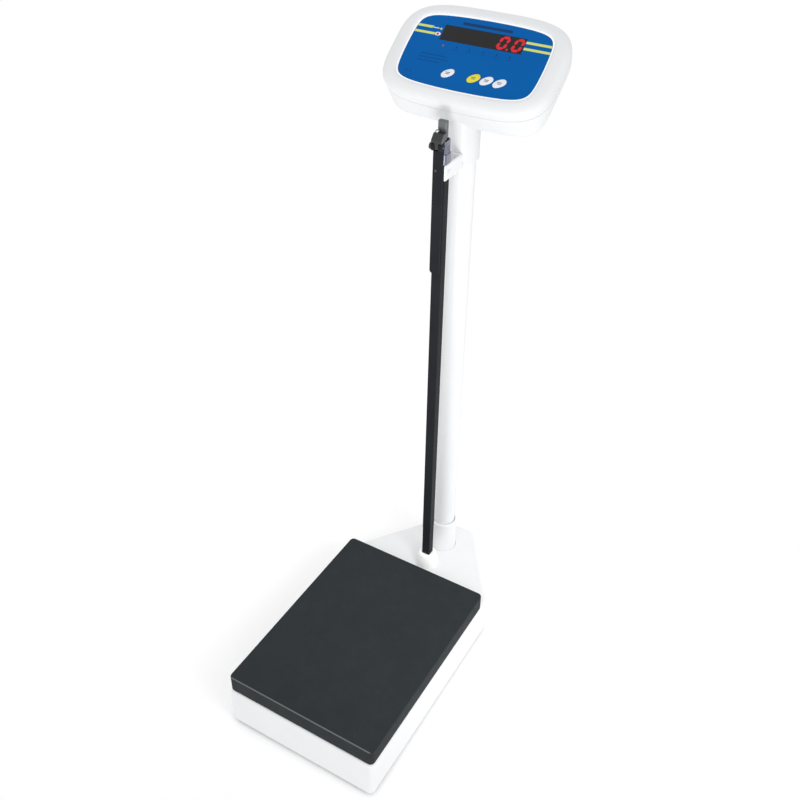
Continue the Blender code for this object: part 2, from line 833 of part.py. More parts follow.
def build_arm_head():
    """The top of the inner rod, the hinge block on its front and the pin through it."""
    plate = block(
        "rod_head",
        (-0.0070, ROD_Y - 0.0050, INNER_TOP + GAP), (0.0070, ROD_Y + 0.0025, HEAD_PLATE_TOP),
    )
    bevel(plate, 0.0020, 3)
    place(plate, aluminium())

    y, z = ROD_Y - PIVOT_FORWARD, PIVOT_Z
    back = ROD_Y - 0.0050 - GAP
    under = z + BARREL_RADIUS + 0.0005
    top = z + 0.0185
    hinge = side_plate("arm_hinge_block", [
        (y - 0.0055, under), (y + 0.0045, under), (y + 0.0045, INNER_TOP + GAP),
        (back, INNER_TOP + GAP), (back, top), (y + 0.0015, top), (y - 0.0055, z + 0.0105),
    ], ARM_HALF)
    tongue = as_cutter(block(
        "hinge_tongue_join", (-TONGUE_HALF, y - 0.0045, z), (TONGUE_HALF, y + 0.0043, z + 0.0100),
    ))
    knuckle = as_cutter(cylinder(
        "hinge_knuckle_join", 0.0045, (-TONGUE_HALF, y, z), (TONGUE_HALF, y, z), 20,
    ))
    bore = as_cutter(cylinder("hinge_bore_cut", 0.0024, (-0.02, y, z), (0.02, y, z), 12))
    cut(hinge, tongue, "UNION")
    cut(hinge, knuckle, "UNION")
    cut(hinge, bore)
    place(hinge, black_metal())
    pin = cylinder("arm_hinge_pin", 0.0020, (-0.0100, y, z), (0.0088, y, z), 12)
    head = as_cutter(cylinder(
        "pin_head_join", 0.0050, (-0.0120, y, z), (-ARM_HALF - GAP, y, z), 20,
    ))
    cut(pin, head, "UNION")
    place(pin, black_metal())
    place(turned(
        "hinge_cap_screw",
        [(0.0, 0.0030), (0.0022, 0.0030), (0.0032, 0.0020), (0.0032, 0.0), (0.0, 0.0)],
        (-0.0044, ROD_Y - 0.0098, top + GAP), 12,
    ), steel())


def build_arm():
    """The measuring arm, hanging folded against the rod from its pivot."""
    y, z = ROD_Y - PIVOT_FORWARD, PIVOT_Z
    barrel_half = ARM_HALF - 0.0002
    arm = cylinder("measuring_arm", BARREL_RADIUS, (-barrel_half, y, z), (barrel_half, y, z), 24)
    corners = [(-ARM_HALF, ARM_END), (ARM_HALF, ARM_END), (ARM_HALF, z), (-ARM_HALF, z)]
    blade = outline_plate(
        "arm_blade_join", [rounded(corners, [0.0050, 0.0020, 0.0005, 0.0005], 3)],
        ARM_BACK, ARM_FRONT,
    )
    blade.matrix_world = Matrix(
        ((1, 0, 0, 0), (0, 0, -1, ROD_Y), (0, 1, 0, 0), (0, 0, 0, 1))
    ) @ Matrix.Translation((0.0, 0.0, (ARM_BACK + ARM_FRONT) / 2))
    slot = as_cutter(block(
        "arm_slot_cut",
        (-TONGUE_HALF - GAP, y - 0.0200, z - 0.0052), (TONGUE_HALF + GAP, y + 0.0200, z + 0.0200),
    ))
    bore = as_cutter(cylinder("arm_bore_cut", 0.0024, (-0.02, y, z), (0.02, y, z), 12))
    cut(arm, as_cutter(blade), "UNION")
    cut(arm, slot)
    cut(arm, bore)
    place(arm, black_metal())
    front = ROD_Y - ARM_FRONT - GAP
    place(cylinder(
        "arm_rivet", 0.0024, (-0.0030, front, 0.8800), (-0.0030, front - 0.0007, 0.8800), 10,
    ), steel())


# Head: everything here is built flat in the face's axes and tilted by the HEAD empty.

def front_rings():
    return [
        (head_outline(0.1300, 0.0775, -0.0800, 3.9), -PART_LINE),
        (head_outline(0.1310, 0.0785, -0.0808, 3.8), -0.0080),
        (head_outline(0.1298, 0.0780, -0.0785, 3.8), -0.0030),
        (head_outline(0.1255, 0.0750, -0.0735, 3.8), 0.0008),
        (film_outline(0.0034), 0.0020),
        (film_outline(0.0010), 0.0004),
        (film_outline(0.0006), -0.0012),
    ]


def rear_rings(grow=0.0, start=-PART_LINE - GAP):
    return [
        (head_outline(0.1300 + grow, 0.0775 + grow, -0.0800 - grow, 3.9), start),
        (head_outline(0.1262 + grow, 0.0735 + grow, -0.0812 - grow, 4.4), -0.0340),
        (head_outline(0.1190 + grow, 0.0665 + grow, -0.0790 - grow, 6.0), -0.0505 - grow),
        (head_outline(0.1130 + grow, 0.0595 + grow, -0.0750 - grow, 6.0), -HEAD_DEPTH - grow),
    ]


def head_proxy():
    """The rear shell's outside, grown by the usual gap: what the neck's top is cut by."""
    return loft("head_underside_cut", rear_rings(0.0004, start=0.0)[::-1], True, True)


def shell_of(obj, wall):
    made = obj.modifiers.new("wall", "SOLIDIFY")
    made.thickness = wall
    made.offset = -1.0
    made.use_even_offset = True
    return obj


def head_cylinder(name, radius, x, y, low, high, sides=12):
    return cylinder(name, radius, (x, y, low), (x, y, high), sides)


def key_names():
    return ("key_power", "key_yellow", "key_centre", "key_right")


def screw_posts():
    return {
        "upper_left": (-0.088, 0.036), "upper_right": (0.088, 0.036),
        "lower_left": (-0.088, -0.044), "lower_right": (0.088, -0.044),
    }


def build_head_shells():
    front = shell_of(loft("head_front_shell", front_rings(), False, True), SHELL_WALL)
    cut(front, as_cutter(block(
        "front_rim_trim", (-0.2, -0.2, -PART_LINE - 0.010), (0.2, 0.2, -PART_LINE + GAP / 2),
    ), HEAD))
    x, y = WINDOW_CENTRE
    half_x, half_y = WINDOW_HALF
    cut(front, as_cutter(block(
        "window_cut",
        (x - half_x - 0.0004, y - half_y - 0.0004, -0.01),
        (x + half_x + 0.0004, y + half_y + 0.0004, 0.01),
    ), HEAD))
    for name, key_x in zip(key_names(), KEY_PLACES):
        hole = key_outline(0.0004, (key_x, KEY_ROW))
        cut(front, as_cutter(outline_plate(name + "_hole_cut", [hole], -0.01, 0.01), HEAD))
    for name, (x, y) in screw_posts().items():
        cut(front, as_cutter(head_cylinder(
            "post_%s_join" % name, 0.0042, x, y, -0.0480, -0.0025,
        ), HEAD), "UNION")
        cut(front, as_cutter(head_cylinder(
            "post_%s_cut" % name, 0.0018, x, y, -0.0600, -0.0250,
        ), HEAD))
    for across in (-0.074, 0.074):
        for along in (-0.018, 0.042):
            cut(front, as_cutter(head_cylinder(
                "standoff_%+.3f_%+.3f" % (across, along), 0.0028,
                across, along, BOARD_Z + GAP, -0.0025, 10,
            ), HEAD), "UNION")
    place(front, white_plastic(), HEAD)

    rear = shell_of(loft("head_rear_shell", rear_rings()[::-1], True, False), SHELL_WALL)
    cut(rear, as_cutter(block(
        "rear_rim_trim", (-0.2, -0.2, -PART_LINE - GAP), (0.2, 0.2, -PART_LINE + 0.010),
    ), HEAD))
    for name, (x, y) in screw_posts().items():
        cut(rear, as_cutter(head_cylinder("rear_%s_cut" % name, 0.0021, x, y, -0.07, -0.04), HEAD))
        screw = turned(
            "head_screw_" + name,
            [
                (0.0, 0.0220), (0.0015, 0.0220), (0.0015, 0.0), (0.0036, 0.0),
                (0.0036, -0.0010), (0.0026, -0.0020), (0.0, -0.0020),
            ],
            (x, y, -HEAD_DEPTH - GAP), 10,
        )
        place(screw, steel(), HEAD)
    cut(rear, as_cutter(cylinder(
        "head_cable_cut", 0.0080, (0.0, COLUMN_Y, 0.920), (0.0, COLUMN_Y, 0.965), 16,
    )))
    inlet_x, inlet_y = power_inlet_place()
    cut(rear, as_cutter(cylinder(
        "power_inlet_cut", 0.0048, (inlet_x, inlet_y, 0.91), (inlet_x, inlet_y, 0.960), 20,
    )))
    place(rear, white_plastic(), HEAD)


def power_inlet_place():
    return 0.0380, COLUMN_Y - 0.0080


def build_power_inlet():
    """A low-voltage jack that points down under the head's lower edge."""
    x, y = power_inlet_place()
    place(turned(
        "power_inlet",
        [
            (0.0, INLET_TOP), (0.0045, INLET_TOP), (0.0045, INLET_BOTTOM + 0.0008), (0.0040, INLET_BOTTOM),
            (INLET_BORE, INLET_BOTTOM), (INLET_BORE, INLET_BOTTOM + INLET_DEPTH), (0.0, INLET_BOTTOM + INLET_DEPTH),
        ],
        (x, y, 0.0), 20,
    ), black_plastic())


def build_face():
    x, y = WINDOW_CENTRE
    half_x, half_y = WINDOW_HALF
    holes = [key_outline(GAP, (key_x, KEY_ROW)) for key_x in KEY_PLACES]
    window_hole = rectangle(half_x + GAP, half_y + GAP, WINDOW_CENTRE)
    film = outline_plate(
        "overlay_film", [film_outline(0.0), window_hole, *holes], -0.0009, 0.0,
    )
    place(film, blue_film(), HEAD)
    lens = block("display_window", (x - half_x, y - half_y, -0.0036), (x + half_x, y + half_y, -0.0001))
    place(lens, smoked_lens(), HEAD)
    for name, key_x in zip(key_names(), KEY_PLACES):
        key = outline_plate(name, [key_outline(0.0)], -0.0030, 0.0004)
        bevel(key, 0.0004, 1, 60.0)
        key.location.x, key.location.y = key_x, KEY_ROW
        place(key, key_yellow() if name == "key_yellow" else key_white(), HEAD)


def build_electronics():
    x, y = WINDOW_CENTRE
    place(block(
        "led_module", (x - 0.0600, y - 0.0110, BOARD_Z + GAP), (x + 0.0600, y + 0.0110, -0.0040),
    ), black_plastic(), HEAD)
    board = block("main_board", (-0.0800, -0.0460, BOARD_Z - 0.0016), (0.0800, 0.0460, BOARD_Z))
    for name, key_x in zip(key_names(), KEY_PLACES):
        cut(board, as_cutter(head_cylinder(
            name + "_switch_join", 0.0022, key_x, KEY_ROW, BOARD_Z - 0.0008, -0.0038,
        ), HEAD), "UNION")
    place(board, board_green(), HEAD)
    pack = block("battery_pack", (-0.0450, 0.0060, -0.0530), (0.0450, 0.0400, -0.0350))
    bevel(pack, 0.0030, 2)
    place(pack, black_plastic(), HEAD)


def build_cell_cable():
    """The load cell's lead: back under the deck, up inside the column and into the head."""
    start = PLATFORM_Y + CELL_SIZE[1] / 2 + GAP
    route = [
        (0.0, start, 0.0500), (0.0, start + 0.030, 0.0480), (0.0, start + 0.080, 0.0410),
        (0.0, COLUMN_Y - 0.060, 0.0400), (0.0, COLUMN_Y - 0.020, 0.0405), (0.0, COLUMN_Y - 0.006, 0.0460),
        (0.0, COLUMN_Y - 0.001, 0.0600), (0.0, COLUMN_Y, 0.0800), (0.0, COLUMN_Y, 0.9200),
        (0.0, COLUMN_Y, 0.9450), (0.0, COLUMN_Y + 0.0010, 0.9550),
    ]
    points = []
    for i in range(len(route) - 1):
        before = Vector(route[max(i - 1, 0)])
        start_point, end_point = Vector(route[i]), Vector(route[i + 1])
        after = Vector(route[min(i + 2, len(route) - 1)])
        length = (end_point - start_point).length
        first = (end_point - before).normalized() * length / 3
        last = (after - start_point).normalized() * length / 3
        steps = 3 if length < 0.3 else 1
        for step in range(steps):
            t = step / steps
            a, b = start_point + first, end_point - last
            points.append(
                start_point * (1 - t) ** 3 + a * 3 * t * (1 - t) ** 2
                + b * 3 * t ** 2 * (1 - t) + end_point * t ** 3
            )
    points.append(Vector(route[-1]))
    curve = bpy.data.curves.new("load_cell_cable", "CURVE")
    curve.dimensions = "3D"
    curve.bevel_depth = 0.0022
    curve.bevel_resolution = 2
    curve.use_fill_caps = True
    spline = curve.splines.new("POLY")
    spline.points.add(len(points) - 1)
    for target, point in zip(spline.points, points):
        target.co = (*point, 1.0)
    place(bpy.data.objects.new("load_cell_cable", curve), black_plastic())


def make_head_empty():
    empty = bpy.data.objects.new("head_face", None)
    empty.location = (0.0, COLUMN_Y + HEAD_FORWARD, HEAD_Z)
    empty.rotation_euler = (HEAD_TILT, 0.0, 0.0)
    PARTS.objects.link(empty)
    return empty


clear_scene()
PARTS = new_collection("physician_scale")
CUTTERS = new_collection("cutters")
HEAD = make_head_empty()
build_base_cover()
build_chassis()
build_feet()
build_load_cell()
build_platform()
build_column()
build_neck()
build_rod_socket()
build_rods()
build_rod_fittings()
build_arm_head()
build_arm()
build_head_shells()
build_face()
build_electronics()
build_power_inlet()
build_cell_cable()
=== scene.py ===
"""Looks for the digital physician column scale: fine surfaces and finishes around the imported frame."""

import json
import math

import bmesh
import bpy
from mathutils import Matrix, Vector


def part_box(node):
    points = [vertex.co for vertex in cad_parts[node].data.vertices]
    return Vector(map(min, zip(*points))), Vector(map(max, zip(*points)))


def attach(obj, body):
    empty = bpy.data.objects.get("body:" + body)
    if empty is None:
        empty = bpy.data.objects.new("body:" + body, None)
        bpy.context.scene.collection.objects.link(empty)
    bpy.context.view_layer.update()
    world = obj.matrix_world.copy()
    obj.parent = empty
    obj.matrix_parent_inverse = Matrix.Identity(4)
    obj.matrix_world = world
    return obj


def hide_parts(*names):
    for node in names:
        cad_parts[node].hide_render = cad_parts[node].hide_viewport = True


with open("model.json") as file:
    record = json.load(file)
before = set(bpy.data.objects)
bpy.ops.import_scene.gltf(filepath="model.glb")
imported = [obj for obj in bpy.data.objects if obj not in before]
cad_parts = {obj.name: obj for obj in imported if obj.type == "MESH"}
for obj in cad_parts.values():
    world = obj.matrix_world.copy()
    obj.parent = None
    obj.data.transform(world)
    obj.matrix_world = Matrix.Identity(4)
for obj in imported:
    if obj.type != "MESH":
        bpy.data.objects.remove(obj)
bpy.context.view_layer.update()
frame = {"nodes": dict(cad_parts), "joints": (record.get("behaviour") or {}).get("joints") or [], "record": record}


# Places and sizes, from the frame. X runs across the scale and -Y is the front; metres.

def centre_of(node):
    low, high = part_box(node)
    return (low + high) / 2


MAT_LOW, MAT_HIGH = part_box("rubber_mat")
BASE_LOW, BASE_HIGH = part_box("base_cover")
PLATFORM_Y = (MAT_LOW.y + MAT_HIGH.y) / 2
DECK_Z = BASE_HIGH.z
COLUMN_Y = centre_of("column_tube").y
ROD_Y = centre_of("outer_rod").y
PIVOT = Vector(next(j["pos_m"] for j in frame["joints"] if j["name"] == "arm_fold"))
PRESS = Vector(next(j["axis"] for j in frame["joints"] if j["name"] == "key_power_press"))

SHOULDER_Y = PLATFORM_Y + 0.205  # where the base's sides turn in towards the column
BRIDGE_REAR_HALF = 0.038
BASE_EDGE = 0.0055
MAT_WALL = 0.0027
MAT_EDGE = 0.0026
MAT_HIGHLIGHT_REACH = 0.0017  # how far the pale painted highlight reaches from the mat's front top edge
RULE_HALF = 0.0046  # half the width of a rod's printed rule
RULE_FACE = 0.0045  # the rule is printed on what lies further forward than this from the rod's axis
FILM_THICKNESS = 0.0009
SHELL_WALL = 0.0025
PART_LINE = 0.018

# The face's own axes: U to the right, V up the face, N out of it; all head parts are built in them.
FACE_NORMAL = -PRESS.normalized()
FACE_UP = FACE_NORMAL.cross(Vector((1.0, 0.0, 0.0)))
FACE_CENTRE = centre_of("overlay_film") + FACE_NORMAL * FILM_THICKNESS / 2
FACE = Matrix.Translation(FACE_CENTRE) @ Matrix(
    ((1.0, 0.0, 0.0), FACE_UP, FACE_NORMAL)
).transposed().to_4x4()

FILM_HALF = (0.1060, 0.0588)
FILM_POWER = 8.0
FILM_BULGE = (0.040, 0.090)  # how far its corners lie inside its middle, across and along
WINDOW_CENTRE = (0.0013, 0.0289)
WINDOW_HALF = (0.0630, 0.0126)
KEY_HALF = (0.0100, 0.0060)
KEY_TILT = math.radians(33.0)
KEY_POWER = 2.2
KEYS = ("key_power", "key_yellow", "key_centre", "key_right")


def in_face(point):
    return FACE.inverted() @ Vector(point)


# Materials: each has its own colour variation, roughness variation and fine relief.

def noise(tree, where, scale, detail=3.0, roughness=0.5):
    made = tree.nodes.new("ShaderNodeTexNoise")
    made.inputs["Scale"].default_value = scale
    made.inputs["Detail"].default_value = detail
    made.inputs["Roughness"].default_value = roughness
    tree.links.new(where, made.inputs["Vector"])
    return made.outputs["Fac"]


def span(tree, value, low, high, from_low=0.3, from_high=0.7):
    made = tree.nodes.new("ShaderNodeMapRange")
    made.inputs["From Min"].default_value = from_low
    made.inputs["From Max"].default_value = from_high
    made.inputs["To Min"].default_value = low
    made.inputs["To Max"].default_value = high
    tree.links.new(value, made.inputs["Value"])
    return made.outputs["Result"]


def blend_colours(tree, factor, first, second):
    made = tree.nodes.new("ShaderNodeMix")
    made.data_type = "RGBA"
    for index, colour in ((6, first), (7, second)):
        if isinstance(colour, bpy.types.NodeSocket):
            tree.links.new(colour, made.inputs[index])
        else:
            made.inputs[index].default_value = (*colour, 1.0)
    tree.links.new(factor, made.inputs[0])
    return made.outputs[2]


def maths(tree, operation, first, second=0.0, clamp=False):
    made = tree.nodes.new("ShaderNodeMath")
    made.operation = operation
    made.use_clamp = clamp
    for socket, value in zip(made.inputs, (first, second)):
        if isinstance(value, bpy.types.NodeSocket):
            tree.links.new(value, socket)
        else:
            socket.default_value = value
    return made.outputs[0]


def relief(tree, height, depth, strength=1.0, normal=None):
    made = tree.nodes.new("ShaderNodeBump")
    made.inputs["Strength"].default_value = strength
    made.inputs["Distance"].default_value = depth
    tree.links.new(height, made.inputs["Height"])
    if normal is not None:
        tree.links.new(normal, made.inputs["Normal"])
    return made.outputs["Normal"]


def shades(colour, spread):
    return [tuple(c * (1 - spread) for c in colour), tuple(min(c * (1 + spread), 1.0) for c in colour)]


def surface(
    name, colour, roughness, metallic=0.0, specular=0.5, tone=0.02, tone_scale=14.0,
    spread=0.04, grain=1400.0, depth=0.00001, coat=0.0,
):
    """A finish with cloudy colour and gloss, and a fine grain of the given depth in metres."""
    made = bpy.data.materials.new(name)
    made.use_nodes = True
    tree = made.node_tree
    shader = tree.nodes["Principled BSDF"]
    shader.inputs["Metallic"].default_value = metallic
    shader.inputs["Specular IOR Level"].default_value = specular
    shader.inputs["Coat Weight"].default_value = coat
    shader.inputs["Coat Roughness"].default_value = 0.12
    where = tree.nodes.new("ShaderNodeTexCoord").outputs["Object"]
    clouds = noise(tree, where, tone_scale, 4.0)
    tree.links.new(blend_colours(tree, span(tree, clouds, 0.0, 1.0), *shades(colour, tone)),
                   shader.inputs["Base Color"])
    handling = noise(tree, where, tone_scale * 6.0, 5.0, 0.65)
    tree.links.new(span(tree, handling, roughness - spread, roughness + spread), shader.inputs["Roughness"])
    fine = noise(tree, where, grain, 2.0)
    tree.links.new(relief(tree, fine, depth), shader.inputs["Normal"])
    return made


def parts_of(made):
    """A material's node tree, its shader and its object coordinates."""
    tree = made.node_tree
    where = next(n for n in tree.nodes if n.bl_idname == "ShaderNodeTexCoord").outputs["Object"]
    return tree, tree.nodes["Principled BSDF"], where


def powder_coat():
    """White powder coat: an orange-peel skin under a fine grain."""
    made = surface("powder_coat", (0.84, 0.85, 0.86), 0.40, tone=0.012, grain=2600.0, depth=0.000006)
    tree, shader, where = parts_of(made)
    grain = shader.inputs["Normal"].links[0].from_socket
    peel = noise(tree, where, 420.0, 2.0)
    tree.links.new(relief(tree, peel, 0.00003, 0.6, grain), shader.inputs["Normal"])
    return made


def head_plastic():
    """Moulded housing with a fine spark-eroded texture."""
    return surface("head_plastic", (0.755, 0.770, 0.780), 0.46, tone=0.012, grain=3000.0, depth=0.000012)


def mat_rubber():
    """Black rubber: a fine pebble with a little pale dust, and a painted highlight, a pale line along its front
    top edge.
    """
    made = surface(
        "mat_rubber", (0.0225, 0.0275, 0.0310), 0.66, specular=0.14, tone=0.05, tone_scale=7.0,
        spread=0.06, grain=3200.0, depth=0.00002,
    )
    tree, shader, where = parts_of(made)
    grain = shader.inputs["Normal"].links[0].from_socket
    pebble = tree.nodes.new("ShaderNodeTexVoronoi")
    pebble.inputs["Scale"].default_value = 620.0
    tree.links.new(where, pebble.inputs["Vector"])
    tree.links.new(relief(tree, pebble.outputs["Distance"], 0.00009, 0.5, grain), shader.inputs["Normal"])
    base = shader.inputs["Base Color"].links[0].from_socket
    dust = span(tree, noise(tree, where, 30.0, 6.0, 0.7), 0.0, 0.05, 0.45, 0.75)
    dusty = blend_colours(tree, dust, base, (0.10, 0.11, 0.11))
    split = tree.nodes.new("ShaderNodeSeparateXYZ")
    tree.links.new(where, split.inputs[0])
    # Painted highlight: a pale line along the front top edge, where the mat's rounded edge catches light.
    front = maths(tree, "LESS_THAN", split.outputs[1], MAT_LOW.y + MAT_HIGHLIGHT_REACH)
    top = maths(tree, "GREATER_THAN", split.outputs[2], MAT_HIGH.z - MAT_HIGHLIGHT_REACH)
    painted_highlight = maths(tree, "MULTIPLY", maths(tree, "MULTIPLY", front, top), 0.75)
    tree.links.new(blend_colours(tree, painted_highlight, dusty, (0.17, 0.18, 0.185)), shader.inputs["Base Color"])
    return made


def brushed(name, colour, roughness, along=2, stretch=40.0, metallic=1.0):
    """Metal with fine lines running along one axis."""
    made = surface(name, colour, roughness, metallic, tone=0.05, grain=1800.0, depth=0.000003)
    tree, shader, where = parts_of(made)
    squeeze = tree.nodes.new("ShaderNodeMapping")
    scale = [1.0, 1.0, 1.0]
    scale[along] = 1.0 / stretch
    squeeze.inputs["Scale"].default_value = scale
    tree.links.new(where, squeeze.inputs["Vector"])
    lines = noise(tree, squeeze.outputs["Vector"], 1500.0, 3.0)
    grain = shader.inputs["Normal"].links[0].from_socket
    tree.links.new(relief(tree, lines, 0.000006, 0.5, grain), shader.inputs["Normal"])
    tree.links.new(span(tree, lines, roughness - 0.06, roughness + 0.08), shader.inputs["Roughness"])
    return made


def graduated(name, base):
    """A rod's coat with a printed rule on its front: a line each millimetre, longer at 5 and 10."""
    made = base.copy()
    made.name = name
    tree, shader, where = parts_of(made)
    split = tree.nodes.new("ShaderNodeSeparateXYZ")
    tree.links.new(where, split.inputs[0])
    x, y, z = split.outputs
    mask = None
    for pitch, line, reach in ((0.001, 0.0002, 0.0018), (0.005, 0.00025, 0.0030), (0.010, 0.0004, 0.0044)):
        beat = maths(tree, "MODULO", maths(tree, "ADD", z, line / 2), pitch)
        on = maths(tree, "LESS_THAN", beat, line)
        near = maths(tree, "LESS_THAN", x, reach - RULE_HALF)
        tick = maths(tree, "MULTIPLY", on, near)
        mask = tick if mask is None else maths(tree, "MAXIMUM", mask, tick)
    front = maths(tree, "LESS_THAN", y, ROD_Y - RULE_FACE)
    inside = maths(tree, "GREATER_THAN", x, -RULE_HALF)
    mask = maths(tree, "MULTIPLY", mask, maths(tree, "MULTIPLY", front, inside))
    colour = shader.inputs["Base Color"].links[0].from_socket
    tree.links.new(blend_colours(tree, mask, colour, (0.80, 0.80, 0.76)), shader.inputs["Base Color"])
    return made


def glowing(name, colour, strength, share=0.5, tone=0.1):
    """A finish that gives off light; share is how much of its colour it also has when dark."""
    made = surface(name, tuple(c * share for c in colour), 0.4, specular=0.2, tone=tone, tone_scale=300.0)
    shader = made.node_tree.nodes["Principled BSDF"]
    shader.inputs["Emission Color"].default_value = (*colour, 1.0)
    shader.inputs["Emission Strength"].default_value = strength
    return made


WHITE_PAINT = powder_coat()
WHITE_PLASTIC = head_plastic()
# The boss and the film's border give off a little light, as they otherwise render darker than the photograph.
IVORY = glowing("ivory_plastic", (0.93, 0.935, 0.915), 0.12, 1.0, 0.01)
MAT_RUBBER = mat_rubber()
FOOT_RUBBER = surface("foot_rubber", (0.020, 0.020, 0.021), 0.7, specular=0.3, tone=0.12, depth=0.00003)
BLACK_METAL = surface(
    "black_coat", (0.0200, 0.0215, 0.0250), 0.40, specular=0.03, tone=0.10, grain=2400.0, depth=0.00001,
)
BLACK_PLASTIC = surface("black_plastic", (0.013, 0.013, 0.014), 0.48, specular=0.35, tone=0.10, depth=0.00002)
CHROME = surface("chrome", (0.19, 0.205, 0.26), 0.12, 1.0, tone=0.02, spread=0.03, depth=0.0000006, coat=0.6)
DARK_STEEL = surface("dark_steel", (0.060, 0.066, 0.064), 0.40, 0.6, tone=0.08)
GLOSS_BLACK = surface("gloss_black", (0.010, 0.011, 0.013), 0.16, specular=0.50, tone=0.08, coat=0.4)
GREY_PLATE = surface("grey_plate", (0.155, 0.165, 0.170), 0.42, 0.5, specular=0.35, tone=0.08)
STEEL = brushed("zinc_steel", (0.55, 0.56, 0.58), 0.34)
ALUMINIUM = brushed("anodised_aluminium", (0.47, 0.48, 0.50), 0.38)
FILM_BLUE = surface(
    "film_blue", (0.0008, 0.104, 0.372), 0.40, specular=0.05, tone=0.03, grain=2800.0, depth=0.000008,
)
FILM_NAVY = surface("film_navy", (0.008, 0.040, 0.135), 0.38, specular=0.08, tone=0.05, depth=0.000008)
FILM_SHADE = surface("film_shade", (0.003, 0.078, 0.290), 0.38, specular=0.05, tone=0.05, depth=0.000008)
FILM_YELLOW = surface("film_yellow", (0.62, 0.68, 0.14), 0.36, specular=0.25, tone=0.03, depth=0.000008)
FILM_WHITE = surface("film_white", (0.80, 0.82, 0.84), 0.36, specular=0.25, tone=0.02, depth=0.000008)
LENS = surface(
    "smoked_lens", (0.008, 0.008, 0.009), 0.14, specular=0.30, tone=0.05, spread=0.02, depth=0.0000008,
)
# Painted highlight: a self-lit white for the ring round the film, where the bezel's recess slope catches light.
GLOWING_HIGHLIGHT_WHITE = glowing("glowing_highlight_white", (0.90, 0.91, 0.93), 0.15, 0.95, 0.01)
SEGMENT_OFF = surface("segment_off", (0.0085, 0.0078, 0.0080), 0.16, specular=0.30, tone=0.05)
SEGMENT_ON = glowing("segment_on", (0.60, 0.012, 0.024), 0.72)
KEY_WHITE = surface("key_white", (0.76, 0.78, 0.83), 0.34, tone=0.015, grain=2500.0, depth=0.000006)
KEY_YELLOW = surface("key_yellow", (0.72, 0.66, 0.02), 0.34, tone=0.02, grain=2500.0, depth=0.000006)
KEY_PRINT = surface("key_print", (0.16, 0.16, 0.20), 0.5, specular=0.2, tone=0.05)
LAMP_RED = glowing("lamp_red", (0.80, 0.02, 0.03), 0.35)
BOARD = surface("board_green", (0.02, 0.16, 0.06), 0.45, tone=0.08, tone_scale=60.0, depth=0.00001)

SLOT_FINISH = {
    "white_paint": WHITE_PAINT, "white_plastic": WHITE_PLASTIC, "ivory_plastic": IVORY,
    "mat_rubber": MAT_RUBBER, "foot_rubber": FOOT_RUBBER, "black_metal": BLACK_METAL,
    "black_plastic": BLACK_PLASTIC, "chrome": CHROME, "steel": STEEL, "aluminium": ALUMINIUM,
    "overlay_blue": FILM_BLUE, "smoked_lens": LENS, "key_white": KEY_WHITE,
    "key_yellow": KEY_YELLOW, "board_green": BOARD,
}


# Mesh tools.

def link(obj):
    bpy.context.scene.collection.objects.link(obj)
    return obj


def from_bmesh(name, bm):
    bmesh.ops.recalc_face_normals(bm, faces=bm.faces)
    mesh = bpy.data.meshes.new(name)
    bm.to_mesh(mesh)
    bm.free()
    return link(bpy.data.objects.new(name, mesh))


def smooth(obj, angle=32.0):
    obj.data.shade_smooth()
    obj.data.set_sharp_from_angle(angle=math.radians(angle))
    return obj


def round_edges(obj, width, segments=3, angle=32.0):
    """Rounds every edge sharper than the angle, and keeps the flat faces looking flat."""
    made = obj.modifiers.new("round_edges", "BEVEL")
    made.width = width
    made.segments = segments
    made.limit_method = "ANGLE"
    made.angle_limit = math.radians(angle)
    made.use_clamp_overlap = True
    obj.data.shade_smooth()
    weigh = obj.modifiers.new("flat_faces", "WEIGHTED_NORMAL")
    weigh.keep_sharp = False
    return obj


def settle(obj):
    """Applies an object's modifiers, so that its mesh is final."""
    bpy.context.view_layer.update()
    graph = bpy.context.evaluated_depsgraph_get()
    mesh = bpy.data.meshes.new_from_object(obj.evaluated_get(graph))
    obj.modifiers.clear()
    obj.data = mesh
    return obj


def carve(obj, *cutters, operation="DIFFERENCE"):
    for cutter in cutters:
        made = obj.modifiers.new("carve", "BOOLEAN")
        made.operation = operation
        made.object = cutter
        made.solver = "EXACT"
    settle(obj)
    for cutter in cutters:
        bpy.data.objects.remove(cutter)
    return obj


def box(name, low, high):
    low, high = Vector(low), Vector(high)
    bm = bmesh.new()
    bmesh.ops.create_cube(bm, size=1.0)
    bmesh.ops.scale(bm, vec=high - low, verts=bm.verts)
    bmesh.ops.translate(bm, vec=(low + high) / 2, verts=bm.verts)
    return from_bmesh(name, bm)


def rod(name, radius, start, end, sides=48):
    start, end = Vector(start), Vector(end)
    bm = bmesh.new()
    bmesh.ops.create_cone(
        bm, cap_ends=True, segments=sides, radius1=radius, radius2=radius, depth=(end - start).length,
    )
    turn = (end - start).to_track_quat("Z", "Y").to_matrix().to_4x4()
    bmesh.ops.transform(bm, matrix=Matrix.Translation((start + end) / 2) @ turn, verts=bm.verts)
    return from_bmesh(name, bm)


def loft(name, rings, close_first=False, close_last=False):
    """Skin through rings of equal point counts; each ring is a list of 3D points."""
    bm = bmesh.new()
    rows = [[bm.verts.new(p) for p in ring] for ring in rings]
    for lower, upper in zip(rows, rows[1:]):
        for i in range(len(lower)):
            j = (i + 1) % len(lower)
            bm.faces.new((lower[i], lower[j], upper[j], upper[i]))
    if close_first:
        bm.faces.new(rows[0][::-1])
    if close_last:
        bm.faces.new(rows[-1])
    return from_bmesh(name, bm)


